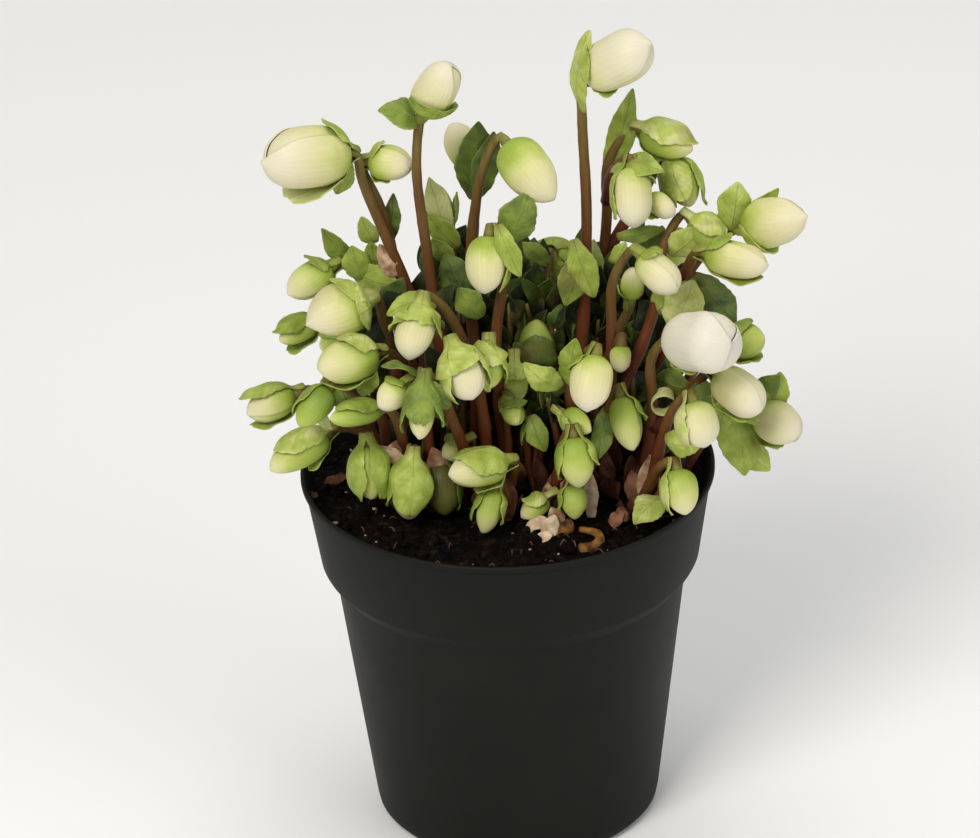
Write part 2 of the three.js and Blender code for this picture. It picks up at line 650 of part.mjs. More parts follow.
// What a leafy stem is made of; with `extra` every part is thicker, to clear its neighbours.
function stalksOf({ root, flowers }, extra = 0) {
  const fromFoot = flowers.filter((item) => !item.branch);
  const middle = fromFoot.length < 2 ? vector(fromFoot[0].via[0]) : fromFoot
    .reduce((sum, item) => sum.add(vector(item.via[0])), new THREE.Vector3()).divideScalar(fromFoot.length);
  const stalks = flowers.map((item) => stalk(root, item, middle, extra));
  const sunk = ({ base, tip }) => vector(base).lerp(vector(tip), -GREEN_BUD_SINK).toArray();
  const greenBuds = flowers.filter((item) => item.colour === 'green')
    .map((item) => bud({ ...item, base: sunk(item) }, extra));
  return joined([foot(root), ...stalks, ...greenBuds]);
}

function bladesOf({ flowers, leaves }, extra = 0) {
  const bracts = flowers.flatMap((item) => item.bracts.map((shape) => bract(item, shape, extra)));
  return [...bracts, ...leaves.map((shape) => freeLeaf(shape, extra))];
}

const whiteBuds = leafyStems.flatMap(({ flowers }) => flowers.filter(({ colour }) => colour === 'white'));
const roomForBuds = whiteBuds.map((item) => bud(item, TRIM));
const roomForStalks = leafyStems.map((item) => stalksOf(item, TRIM));

const object = new THREE.Group();

function addPiece(name, solid, material) {
  const mesh = new THREE.Mesh(geometryOf(solid), material);
  mesh.name = name;
  object.add(mesh);
}

function numbered(name, index) {
  return `${name}_${String(index + 1).padStart(2, '0')}`;
}

addPiece('pot', potSolid(), materials.pot);
addPiece('soil', soilSolid(leafyStems.map(({ root }) => foot(root, GAP))), materials.soil);

// Each blade is trimmed where it would touch a bud, another stem, or a blade made before it.
const takenByBlades = [];
leafyStems.forEach((item, i) => {
  const otherStalks = roomForStalks.filter((_, j) => j !== i);
  const room = [...roomForBuds, ...otherStalks, ...takenByBlades];
  const blades = bladesOf(item).map((blade) => without(blade, room));
  addPiece(numbered('leafy_stem', i), mainPiece(joined([without(stalksOf(item), roomForBuds), ...blades])),
    materials.stem);
  takenByBlades.push(...bladesOf(item, TRIM));
});
whiteBuds.forEach((item, i) => addPiece(numbered('bud', i), bud(item), materials.bud));

export default object;
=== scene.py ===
# %% [markdown]
# # A christmas rose in bud, in a nursery pot
# The plant is a hellebore just before it flowers: many nodding egg-shaped buds, each with a few
# small leaf-like bracts, on red-brown stalks that rise from one crown. It stands in dark peat in a
# plain tapered pot. The solids of the frame hold the sizes and places; this script gives them
# their skin. The scene is in metres, and +Z is up.

# %% Load the frame
import random
from math import cos, exp, hypot, pi, radians, sin, sqrt

import bmesh
import bpy
from mathutils import Matrix, Vector, noise


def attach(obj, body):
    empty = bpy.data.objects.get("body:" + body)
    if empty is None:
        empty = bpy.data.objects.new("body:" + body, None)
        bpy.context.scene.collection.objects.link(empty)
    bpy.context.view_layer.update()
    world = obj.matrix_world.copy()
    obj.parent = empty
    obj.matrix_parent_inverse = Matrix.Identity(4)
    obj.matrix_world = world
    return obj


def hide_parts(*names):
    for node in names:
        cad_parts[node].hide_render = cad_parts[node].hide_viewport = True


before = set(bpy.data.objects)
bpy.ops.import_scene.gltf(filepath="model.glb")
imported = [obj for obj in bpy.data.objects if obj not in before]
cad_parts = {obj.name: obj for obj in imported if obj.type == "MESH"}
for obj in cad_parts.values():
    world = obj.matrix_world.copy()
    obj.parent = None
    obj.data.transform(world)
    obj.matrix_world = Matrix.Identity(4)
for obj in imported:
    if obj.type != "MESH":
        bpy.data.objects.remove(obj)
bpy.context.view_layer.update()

# %% [markdown]
# The sizes below are the same driving sizes as those of the solids, in millimetres. MM turns them
# into metres where a piece is made.

# %% Sizes
MM = 0.001
RIM_RADIUS = 60
POT_HEIGHT = 110
LIP_HEIGHT = 2
STEP_TOP = 82.5
STEP_BOTTOM = 78
COLLAR_FOOT_RADIUS = 55
BODY_TOP_RADIUS = 51
BODY_FOOT_RADIUS = 41.5
BASE_RADIUS = 37.5
CORNER_HEIGHT = 4.5
WALL = 1.3
DRAIN_COUNT = 6
DRAIN_RADIUS = 4
DRAIN_CIRCLE = 26
SOIL_EDGE = 102.5
SOIL_MOUND = 3
SOIL_CLODS = 0.8
STEM_RADIUS = 1.8
NECK = 3
FOOT_SPREAD = 2.4

# %% [markdown]
# ## Camera
# The view is from a little above, through a long lens, so the pot's sides hardly converge.
# The camera looks at a point above the middle of the pot and is rolled by two degrees. A camera can
# be aimed with a Track To constraint; its matrix is set here instead, because that takes the
# distance, the rise and the roll as they are named, and needs no second object.

# %% Camera
CAMERA_RISE = radians(29)
CAMERA_ROLL = radians(2)
CAMERA_DISTANCE = 2.5
CAMERA_LENS = 318.4
LOOK_AT = Vector((-0.0046, 0, 0.1254))

camera_data = bpy.data.cameras.new("camera")
camera_data.lens = CAMERA_LENS
camera_data.sensor_width = 36
camera_data.sensor_fit = "HORIZONTAL"
camera_data.clip_end = 10
camera = bpy.data.objects.new("camera", camera_data)
bpy.context.scene.collection.objects.link(camera)
back = Vector((0, -cos(CAMERA_RISE), sin(CAMERA_RISE)))
camera.matrix_world = (Matrix.Translation(LOOK_AT + back * CAMERA_DISTANCE)
                       @ Matrix.Rotation(pi / 2 - CAMERA_RISE, 4, "X")
                       @ Matrix.Rotation(-CAMERA_ROLL, 4, "Z"))
bpy.context.scene.camera = camera
print("camera at", tuple(round(value, 3) for value in camera.matrix_world.translation))

# %% [markdown]
# ## Light and floor
# Soft light from large lamps and a pale floor, as in a plain studio. The look of the view
# transform is left plain, so that white petals stay white. A sun lamp would throw hard shadows
# between the many stalks. An area lamp blurs them, and the larger it is, the more.

# %% Light and floor
LAMP_AIM = Vector((0, 0, 0.13))


def lamp(name, place, size, power, colour):
    data = bpy.data.lights.new(name, "AREA")
    data.shape = "SQUARE"
    data.size = size
    data.energy = power
    data.color = colour
    item = bpy.data.objects.new(name, data)
    item.location = place
    item.rotation_euler = (LAMP_AIM - Vector(place)).to_track_quat("-Z", "Y").to_euler()
    bpy.context.scene.collection.objects.link(item)


lamp("key_light", (-0.65, -1.25, 1.5), 0.8, 25, (1, 0.97, 0.91))
lamp("fill_light", (1.2, -1.0, 0.9), 1.1, 8, (1, 0.99, 0.96))
lamp("top_light", (0.1, 0.5, 1.6), 1.0, 8, (1, 0.99, 0.97))

world = bpy.data.worlds.new("studio")
world.use_nodes = True
world.node_tree.nodes["Background"].inputs["Color"].default_value = (1, 1, 1, 1)
world.node_tree.nodes["Background"].inputs["Strength"].default_value = 0.32
bpy.context.scene.world = world
bpy.context.scene.view_settings.view_transform = "Standard"

floor_mesh = bmesh.new()
bmesh.ops.create_grid(floor_mesh, x_segments=1, y_segments=1, size=3)
floor_data = bpy.data.meshes.new("floor")
floor_mesh.to_mesh(floor_data)
floor_mesh.free()
floor = bpy.data.objects.new("floor", floor_data)
bpy.context.scene.collection.objects.link(floor)

# %% [markdown]
# ## Helpers for materials
# Every finish is a small node tree. These helpers add a noise, a colour ramp, a mix or a sum, so
# that each finish below reads as a short recipe. `fix` sets a socket of the shader that no node
# drives. Painted images could hold such colours too, but noise has no seams and stays sharp at any
# distance.

# %% Helpers for materials
MIX_INPUTS = (0, 6, 7)      # a colour mix reads its factor and its two colours here
MIX_OUTPUT = 2


class Finish:
    """A material with its principled shader at hand."""

    def __init__(self, name, roughness=0.5):
        self.material = bpy.data.materials.new(name)
        self.material.use_nodes = True
        self.tree = self.material.node_tree
        self.shader = self.tree.nodes["Principled BSDF"]
        self.fix("Roughness", roughness)

    def fix(self, name, value):
        self.shader.inputs[name].default_value = value

    def node(self, kind, **settings):
        made = self.tree.nodes.new(kind)
        for name, value in settings.items():
            setattr(made, name, value)
        return made

    def link(self, start, end):
        self.tree.links.new(start, end)

    def places(self, stretch=(1, 1, 1)):
        """Object coordinates, stretched."""
        source = self.node("ShaderNodeTexCoord").outputs["Object"]
        mapping = self.node("ShaderNodeMapping")
        mapping.inputs["Scale"].default_value = stretch
        self.link(source, mapping.inputs["Vector"])
        return mapping.outputs["Vector"]

    def noise(self, scale, detail=4, stretch=(1, 1, 1), vector=None):
        made = self.node("ShaderNodeTexNoise")
        made.inputs["Scale"].default_value = scale
        made.inputs["Detail"].default_value = detail
        self.link(vector or self.places(stretch), made.inputs["Vector"])
        return made.outputs["Fac"]

    def attribute(self, name):
        return self.node("ShaderNodeAttribute", attribute_name=name).outputs["Fac"]

    def ramp(self, factor, stops):
        made = self.node("ShaderNodeValToRGB")
        elements = made.color_ramp.elements
        while len(elements) < len(stops):
            elements.new(0.5)
        for element, (position, colour) in zip(elements, stops):
            element.position = position
            element.color = (*colour, 1)
        self.link(factor, made.inputs["Fac"])
        return made.outputs["Color"]

    def feed(self, socket, value):
        """A number, a colour or another node's socket goes in."""
        if isinstance(value, (int, float)):
            socket.default_value = value
        elif isinstance(value, tuple):
            socket.default_value = (*value, 1)
        else:
            self.link(value, socket)

    def mix(self, factor, first, second):
        made = self.node("ShaderNodeMix", data_type="RGBA")
        for socket, value in zip(MIX_INPUTS, (factor, first, second)):
            self.feed(made.inputs[socket], value)
        return made.outputs[MIX_OUTPUT]

    def math(self, operation, first, second=0.0):
        made = self.node("ShaderNodeMath", operation=operation)
        self.feed(made.inputs[0], first)
        self.feed(made.inputs[1], second)
        return made.outputs[0]

    def plus(self, first, second):
        return self.math("ADD", first, second)

    def minus(self, first, second):
        return self.math("SUBTRACT", first, second)

    def times(self, first, second):
        return self.math("MULTIPLY", first, second)

    def span(self, value, low, high, to_low=0.0, to_high=1.0):
        made = self.node("ShaderNodeMapRange")
        ends = {"From Min": low, "From Max": high, "To Min": to_low, "To Max": to_high}
        for name, number in {"Value": value, **ends}.items():
            self.feed(made.inputs[name], number)
        return made.outputs["Result"]

    def colour(self, socket):
        self.link(socket, self.shader.inputs["Base Color"])

    def roughness(self, socket):
        self.link(socket, self.shader.inputs["Roughness"])

    def bump(self, height, distance, strength=1.0):
        made = self.node("ShaderNodeBump")
        made.inputs["Distance"].default_value = distance
        made.inputs["Strength"].default_value = strength
        self.link(height, made.inputs["Height"])
        self.link(made.outputs["Normal"], self.shader.inputs["Normal"])


floor_finish = Finish("pale_floor", 0.9)
floor_finish.fix("Base Color", (0.9, 0.9, 0.9, 1))
floor_data.materials.append(floor_finish.material)

# %% [markdown]
# ## Finishes
# The pot is moulded from recycled black plastic with a dull skin. One flat black would look drawn,
# because such plastic is slightly cloudy, so a soft noise changes its colour and its gloss by small
# amounts. A much finer noise gives the skin its grain.

# %% Pot plastic
pot_plastic = Finish("pot_plastic")
cloudy = pot_plastic.noise(28, 5)
pot_plastic.colour(pot_plastic.ramp(cloudy, [
    (0.3, (0.008, 0.0083, 0.0072)), (0.75, (0.0125, 0.0128, 0.0112))]))
pot_plastic.roughness(pot_plastic.span(cloudy, 0.3, 0.7, 0.52, 0.64))
pot_plastic.bump(pot_plastic.noise(1400, 2), 0.00003)
pot_plastic.fix("Specular IOR Level", 0.09)

# %% [markdown]
# Peat is almost black where it is moist and brown where a clod has dried. Three noises of
# different size colour its clods, crumbs and grains, because a single one looks like even sand. The
# pale grains are partly painted glints: light specks that stand in for highlights on the crumbs. A
# fourth helps to roughen it. The perlite and the bits of root have plainer finishes.

# %% Peat
peat = Finish("peat", 0.95)
crumbs = peat.noise(420, 8)
damp = peat.noise(60, 3)
dry = peat.ramp(crumbs, [
    (0.4, (0.0018, 0.0013, 0.001)), (0.58, (0.009, 0.0055, 0.0035)), (0.75, (0.05, 0.028, 0.015))])
# pale specks: real light grains of peat, and painted glints in place of highlights
grains_and_painted_glints = peat.mix(peat.span(peat.noise(2600, 2), 0.64, 0.76, 0.0, 0.5), dry, (0.13, 0.09, 0.06))
peat.colour(peat.mix(peat.span(damp, 0.35, 0.65, 0.0, 0.5), grains_and_painted_glints, (0.002, 0.0016, 0.0012)))
peat.bump(peat.plus(crumbs, peat.noise(1500, 4)), 0.0014)
peat.fix("Specular IOR Level", 0.08)

perlite = Finish("perlite", 0.85)
perlite.colour(perlite.ramp(perlite.noise(900, 3), [
    (0.3, (0.20, 0.17, 0.14)), (0.7, (0.55, 0.51, 0.44))]))
perlite.bump(perlite.noise(2500, 3), 0.0004)

fibre = Finish("root_fibre", 0.85)
fibre.colour(fibre.ramp(fibre.noise(150, 2), [(0.35, (0.028, 0.014, 0.008)), (0.7, (0.13, 0.065, 0.032))]))

# %% [markdown]
# A stalk is dark red at its foot, red-brown along its length and olive under the bud. The piece
# stores how far up its stalk a point lies, and the finish reads that. The height over the peat
# would not do, because the stalks differ in length and nod at their ends. Fine upright streaks are
# a noise stretched along Z.

# %% Stalk skin
stalk_skin = Finish("stalk_skin", 0.55)
along = stalk_skin.attribute("along")
ripe = stalk_skin.ramp(along, [
    (0.0, (0.060, 0.010, 0.005)), (0.28, (0.145, 0.030, 0.009)), (0.56, (0.155, 0.048, 0.011)),
    (0.78, (0.155, 0.082, 0.018)), (0.93, (0.165, 0.125, 0.026)), (1.0, (0.30, 0.32, 0.06))])
streaks = stalk_skin.noise(700, 4, stretch=(1, 1, 0.08))
patches = stalk_skin.noise(90, 3, stretch=(1, 1, 0.4))
skin = stalk_skin.mix(stalk_skin.span(streaks, 0.35, 0.7, 0.0, 0.5), ripe, (0.055, 0.016, 0.007))
stalk_skin.colour(stalk_skin.mix(stalk_skin.span(patches, 0.5, 0.72, 0.0, 0.4), skin, (0.150, 0.105, 0.035)))
stalk_skin.bump(streaks, 0.0003)
stalk_skin.fix("Specular IOR Level", 0.28)

# %% [markdown]
# A petal runs from yellow-green at its base to ivory at its tip, with fine lengthwise veins. Each
# bud stores a tint, from 0 for a ripe white bud to 1 for a young green one; below 0 the bud is the
# whitest, and past 1 it turns brown.
# The petal's own map holds the place along it in V, so the colours follow the petal however its
# bud hangs, which plain coordinates can't do. A little light passes into the flesh.

# %% Petal
def blade_places(finish):
    made = finish.node("ShaderNodeSeparateXYZ")
    finish.link(finish.node("ShaderNodeTexCoord").outputs["UV"], made.inputs["Vector"])
    return made.outputs["X"], made.outputs["Y"]


petal = Finish("petal", 0.5)
up = blade_places(petal)[1]
tint = petal.attribute("tint")
mottled = petal.noise(110, 4)
ripeness = petal.minus(up, petal.times(tint, 0.7))
ripe = petal.ramp(petal.plus(ripeness, petal.span(mottled, 0.3, 0.7, -0.1, 0.1)), [
    (0.0, (0.31, 0.40, 0.05)), (0.1, (0.43, 0.50, 0.10)), (0.24, (0.62, 0.61, 0.25)),
    (0.42, (0.71, 0.65, 0.37)), (0.7, (0.74, 0.68, 0.48)), (1.0, (0.75, 0.69, 0.54))])
ripe = petal.mix(petal.span(tint, -0.3, 0.1, 0.75, 0.0), ripe, (0.75, 0.69, 0.58))
growth = petal.plus(up, petal.span(tint, 0.8, 1.1, 0.0, -0.3))
young = petal.ramp(petal.plus(growth, petal.span(mottled, 0.3, 0.7, -0.09, 0.09)), [
    (0.0, (0.18, 0.26, 0.03)), (0.35, (0.33, 0.43, 0.065)), (0.65, (0.48, 0.54, 0.12)),
    (0.85, (0.70, 0.69, 0.34)), (1.0, (0.80, 0.76, 0.52))])
unripe = petal.mix(petal.span(tint, 0.3, 0.75, 0.0, 1.0), ripe, young)
flesh = petal.mix(petal.span(tint, 1.15, 1.5, 0.0, 0.95), unripe, (0.075, 0.052, 0.012))
fine = petal.node("ShaderNodeTexWave")
fine.inputs["Scale"].default_value = 4
fine.inputs["Distortion"].default_value = 3.5
petal.link(petal.node("ShaderNodeTexCoord").outputs["UV"], fine.inputs["Vector"])
veins = fine.outputs["Fac"]
greener = petal.mix(0.5, flesh, (0.36, 0.42, 0.12))
petal.colour(petal.mix(petal.span(veins, 0.6, 1.0, 0.0, 0.08), flesh, greener))
petal.bump(petal.plus(petal.times(veins, 0.5), petal.noise(300, 4)), 0.00008)
petal.fix("Subsurface Weight", 0.25)
petal.fix("Subsurface Radius", (0.9, 0.8, 0.4))
petal.fix("Subsurface Scale", 0.002)
petal.fix("Specular IOR Level", 0.35)

# %% [markdown]
# A bract is a small leaf. Its tone differs from plant to plant and from old to young, its midrib
# and side veins are paler, and its edge is a little yellow. The dark end of its scale is painted
# shade: leaves that lie in shadow deep among the stalks are coloured nearly black, and their pale
# veins and edge fade out. The veins are drawn from the blade's own map: a thin line along the
# middle, and slanting lines off it. Veins with a shape of their own would take thousands of faces,
# and these are too fine to need it. Patches turn brown with age, and the foot of the blade takes on
# the brown of the stalk.

# %% Bract
bract_leaf = Finish("bract_leaf", 0.5)
across, up = blade_places(bract_leaf)
tone_and_painted_shade = bract_leaf.attribute("tint")
cells = bract_leaf.noise(240, 5)
# painted shade: the nearly black end of this ramp colours the leaves that lie in shadow in the crown
fresh = bract_leaf.ramp(bract_leaf.plus(tone_and_painted_shade, bract_leaf.span(cells, 0.3, 0.7, -0.16, 0.16)), [
    (0.0, (0.58, 0.60, 0.25)), (0.1, (0.45, 0.52, 0.12)), (0.3, (0.29, 0.37, 0.05)),
    (0.65, (0.12, 0.18, 0.026)), (1.0, (0.018, 0.027, 0.007))])
off_middle = bract_leaf.math("ABSOLUTE", bract_leaf.minus(across, 0.5))
midrib = bract_leaf.span(off_middle, 0.0, 0.03, 1.0, 0.0)
slant = bract_leaf.minus(up, bract_leaf.times(off_middle, 0.75))
wobble = bract_leaf.plus(slant, bract_leaf.span(bract_leaf.noise(60, 2), 0.0, 1.0, -0.05, 0.05))
side = bract_leaf.math("ABSOLUTE", bract_leaf.math("SINE", bract_leaf.times(wobble, 23.0)))
side_veins = bract_leaf.span(side, 0.0, 0.25, 1.0, 0.0)
veining = bract_leaf.math("MAXIMUM", midrib, bract_leaf.times(side_veins, 0.4))
# painted shade: on the darkest leaves the pale veins and edge fade, as they would in shadow
vein_fade_in_painted_shade = bract_leaf.span(tone_and_painted_shade, 0.5, 1.0, 1.0, 0.2)
vein_lines = bract_leaf.times(bract_leaf.times(veining, 0.22), vein_fade_in_painted_shade)
veined = bract_leaf.mix(vein_lines, fresh, (0.52, 0.56, 0.17))
age = bract_leaf.span(bract_leaf.noise(75, 4), 0.56, 0.72, 0.0, 0.45)
aged = bract_leaf.mix(age, veined, (0.20, 0.13, 0.035))
footed = bract_leaf.mix(bract_leaf.span(up, 0.0, 0.22, 0.6, 0.0), aged, (0.15, 0.105, 0.028))
margin = bract_leaf.times(bract_leaf.span(off_middle, 0.465, 0.5, 0.0, 0.4), vein_fade_in_painted_shade)
bract_leaf.colour(bract_leaf.mix(margin, footed, (0.44, 0.42, 0.17)))
bract_leaf.bump(bract_leaf.plus(bract_leaf.times(veining, 0.5), cells), 0.0004)
bract_leaf.fix("Subsurface Weight", 0.15)
bract_leaf.fix("Subsurface Radius", (0.5, 0.9, 0.15))
bract_leaf.fix("Subsurface Scale", 0.0012)
bract_leaf.fix("Specular IOR Level", 0.35)

# %% [markdown]
# Dry scales and sheaths lie round the crown. They are papery and blotched, from brown to rosy cream.
# One noise drives both the blotches and the bump, because a dry scale is palest where it has
# crinkled up. A tone past 1 is the amber of a withered one.

# %% Dry scale
dry_scale = Finish("dry_scale", 0.75)
tone = dry_scale.attribute("tint")
grain = dry_scale.noise(320, 5)
papery = dry_scale.ramp(dry_scale.plus(tone, dry_scale.span(grain, 0.3, 0.7, -0.2, 0.2)), [
    (0.0, (0.022, 0.009, 0.006)), (0.35, (0.12, 0.042, 0.02)), (0.65, (0.32, 0.15, 0.08)),
    (1.0, (0.72, 0.58, 0.40))])
amber = dry_scale.mix(dry_scale.span(grain, 0.35, 0.65), (0.035, 0.014, 0.005), (0.30, 0.135, 0.03))
dry_scale.colour(dry_scale.mix(dry_scale.span(tone, 1.0, 1.3), papery, amber))
dry_scale.bump(grain, 0.0003)
dry_scale.fix("Specular IOR Level", 0.25)

# %% [markdown]
# ## Helpers for pieces
# A piece is one mesh object at the origin. `new_piece` takes the bmesh that holds it, gives it a
# finish, smooth shading and its place in the frame's table. `thicken` gives a piece of sheets a
# thickness and rounds them. Both sides of a sheet could be modelled, but the Solidify modifier
# makes them from one layer of faces, and Subdivision Surface then rounds what has few points.

# %% Helpers for pieces
def new_bmesh():
    mesh = bmesh.new()
    mesh.loops.layers.uv.new("UVMap")
    mesh.verts.layers.float.new("tint")
    mesh.verts.layers.float.new("along")
    return mesh


def new_piece(name, mesh, finishes, replaced=()):
    bmesh.ops.recalc_face_normals(mesh, faces=mesh.faces)
    data = bpy.data.meshes.new(name)
    mesh.to_mesh(data)
    mesh.free()
    for finish in finishes:
        data.materials.append(finish.material)
    data.polygons.foreach_set("use_smooth", [True] * len(data.polygons))
    piece = bpy.data.objects.new(name, data)
    bpy.context.scene.collection.objects.link(piece)
    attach(piece, "root")
    if replaced:
        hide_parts(*replaced)
    return piece


def thicken(piece, thickness):
    solidify = piece.modifiers.new("thickness", "SOLIDIFY")
    solidify.thickness = thickness * MM
    solidify.offset = 0
    smooth = piece.modifiers.new("smooth", "SUBSURF")
    smooth.levels = 1
    smooth.render_levels = 1

# %% [markdown]
# ## The pot
# A nursery pot is blown or moulded as a body of revolution: a tapered body, a chamfered step, a
# tapered collar and a thin rolled lip. Its outline is spun round the Z axis. Each edge of the
# solid's outline is drawn here as two or three points close together, so that it looks soft. A
# cylinder could be shaped ring by ring, but an outline shows the section of the wall at a glance.
# The drain holes are cut with cylinders through the floor.

# %% The pot
POT_STEPS = 144
DRILL_SIDES = 32
DRILL_DEPTH = 6
SHARP_ANGLE = radians(35)


def spun(outline, steps):
    mesh = bmesh.new()
    points = [mesh.verts.new((radius * MM, 0, height * MM)) for radius, height in outline]
    edges = [mesh.edges.new(pair) for pair in zip(points, points[1:])]
    bmesh.ops.spin(mesh, geom=points + edges, cent=(0, 0, 0), axis=(0, 0, 1), angle=2 * pi, steps=steps,
                   use_merge=True)
    bmesh.ops.remove_doubles(mesh, verts=mesh.verts, dist=1e-6)
    return mesh


rim = RIM_RADIUS - 1
lip_foot = POT_HEIGHT - LIP_HEIGHT
pot_outline = [
    (0, 0), (BASE_RADIUS, 0), (39.6, 0.5), (41, 2.1), (BODY_FOOT_RADIUS, CORNER_HEIGHT),
    (BODY_TOP_RADIUS - 0.1, STEP_BOTTOM - 0.9), (BODY_TOP_RADIUS + 0.5, STEP_BOTTOM + 0.2),
    (COLLAR_FOOT_RADIUS - 0.5, STEP_TOP - 0.7), (COLLAR_FOOT_RADIUS + 0.05, STEP_TOP + 0.4),
    (rim, lip_foot - 0.2), (rim + 0.55, lip_foot), (RIM_RADIUS, lip_foot + 0.5),
    (RIM_RADIUS, POT_HEIGHT - 0.4), (RIM_RADIUS - 0.35, POT_HEIGHT), (RIM_RADIUS - 1, POT_HEIGHT),
    (RIM_RADIUS - 1.4, POT_HEIGHT - 0.5), (rim - 1.4, lip_foot - 0.5),
    (COLLAR_FOOT_RADIUS - WALL, STEP_TOP + 0.6), (BODY_TOP_RADIUS - WALL, STEP_BOTTOM + 0.6),
    (BODY_FOOT_RADIUS - WALL, CORNER_HEIGHT + 0.5), (BASE_RADIUS - 1, WALL), (0, WALL)]
pot = new_piece("pot_shell", spun(pot_outline, POT_STEPS), [pot_plastic], ["pot"])

drills = bmesh.new()
for index in range(DRAIN_COUNT):
    turn = (index + 0.5) / DRAIN_COUNT * 2 * pi
    place = Matrix.Translation(Vector((DRAIN_CIRCLE * cos(turn), DRAIN_CIRCLE * sin(turn), 0)) * MM)
    bmesh.ops.create_cone(drills, cap_ends=True, segments=DRILL_SIDES, radius1=DRAIN_RADIUS * MM,
                          radius2=DRAIN_RADIUS * MM, depth=DRILL_DEPTH * MM, matrix=place)
drill_data = bpy.data.meshes.new("drills")
drills.to_mesh(drill_data)
drills.free()
drill = bpy.data.objects.new("drills", drill_data)
bpy.context.scene.collection.objects.link(drill)
cut = pot.modifiers.new("drains", "BOOLEAN")
cut.object = drill
cut.solver = "EXACT"
bpy.context.view_layer.update()
drained = bpy.data.meshes.new_from_object(pot.evaluated_get(bpy.context.evaluated_depsgraph_get()))
pot.modifiers.clear()
pot.data = drained
pot.data.polygons.foreach_set("use_smooth", [True] * len(pot.data.polygons))
bpy.data.objects.remove(drill)
pot.data.set_sharp_from_angle(angle=SHARP_ANGLE)
print("pot faces:", len(pot.data.polygons))

# %% [markdown]
# ## The peat
# The peat fills the pot. Its body is a spun plug, and its top is cut fine and pushed up and down by
# noise, so that it is crumbly right up to the wall. A Displace modifier could do that too. Here it
# is a function, because the clods and roots that lie on the peat need its height as well.

# %% The peat
BED_STEPS = 288
BED_RINGS = 64
CRUMBS = [(0.22, 1.1), (0.6, 0.8), (1.7, 0.45)]     # how fine, and how high


def soil_top(x, y):
    inward = 1 - hypot(x, y) / RIM_RADIUS
    clods = sin(x * 0.31 + y * 0.17) * cos(y * 0.37 - x * 0.11)
    return SOIL_EDGE + SOIL_MOUND * inward + SOIL_CLODS * clods


def crumble(x, y):
    spot = Vector((x, y, 0))
    return sum(noise.noise(spot * fineness) * height for fineness, height in CRUMBS)


clear = WALL + 0.1
collar_slope = (rim - COLLAR_FOOT_RADIUS) / (lip_foot - STEP_TOP)
edge_radius = COLLAR_FOOT_RADIUS - clear + (SOIL_EDGE - STEP_TOP) * collar_slope
soil_outline = [(0, clear), (BASE_RADIUS - 1.5, clear), (BODY_FOOT_RADIUS - clear, CORNER_HEIGHT + 0.5),
                (BODY_TOP_RADIUS - clear, STEP_BOTTOM + 0.9), (COLLAR_FOOT_RADIUS - clear, STEP_TOP + 0.9),
                (edge_radius, SOIL_EDGE)]
soil_outline += [(edge_radius * (1 - ring / BED_RINGS), SOIL_EDGE) for ring in range(1, BED_RINGS + 1)]
soil_mesh = spun(soil_outline, BED_STEPS)
for vert in soil_mesh.verts:
    if vert.co.z > (SOIL_EDGE - 0.01) * MM:
        x, y = vert.co.x / MM, vert.co.y / MM
        vert.co.z = (soil_top(x, y) + crumble(x, y)) * MM
peat_bed = new_piece("peat_bed", soil_mesh, [peat], ["soil"])
print("peat faces:", len(peat_bed.data.polygons))

# %% [markdown]
# ## What grows in the pot
# This list of leafy stems follows the solids' own, in millimetres: where each stands in the peat,
# the places each stalk passes, and its bud, bracts and leaves. It has more bracts than the solids
# have room for. Each bud has a tint, from 0 for a ripe white one to 1 for a young green one, and
# each bract or leaf a shade, from 0, light, to 1, dark. The darkest shades, near 1, are painted
# shade for leaves that lie in shadow among the stalks.

# %% Words of the planting list
LEFT = (-1, 0, 0)
RIGHT = (1, 0, 0)
FRONT = (0, -1, 0)
BACK = (0, 1, 0)
UP = (0, 0, 1)
DOWN = (0, 0, -1)
GREEN = 0.5          # a bud with a larger tint is one piece with its leafy stem


def cup(side, reach, spread, flare, tone_and_painted_shade=0.3):
    return {"side": side, "reach": reach, "spread": spread, "flare": flare, "tone_and_painted_shade": tone_and_painted_shade}


def leaf(start, end, half_width, facing, arch, tone_and_painted_shade=0.5):
    return {"start": start, "end": end, "half_width": half_width, "facing": facing, "arch": arch,
            "tone_and_painted_shade": tone_and_painted_shade}


def flower(tint, via, base, tip, radius, bracts=()):
    return {"tint": tint, "via": via, "base": base, "tip": tip, "radius": radius, "bracts": bracts,
            "branch": False}


def branch(*values):
    return {**flower(*values), "branch": True}


def stem(root, flowers, leaves=()):
    return {"root": root, "flowers": flowers, "leaves": leaves}


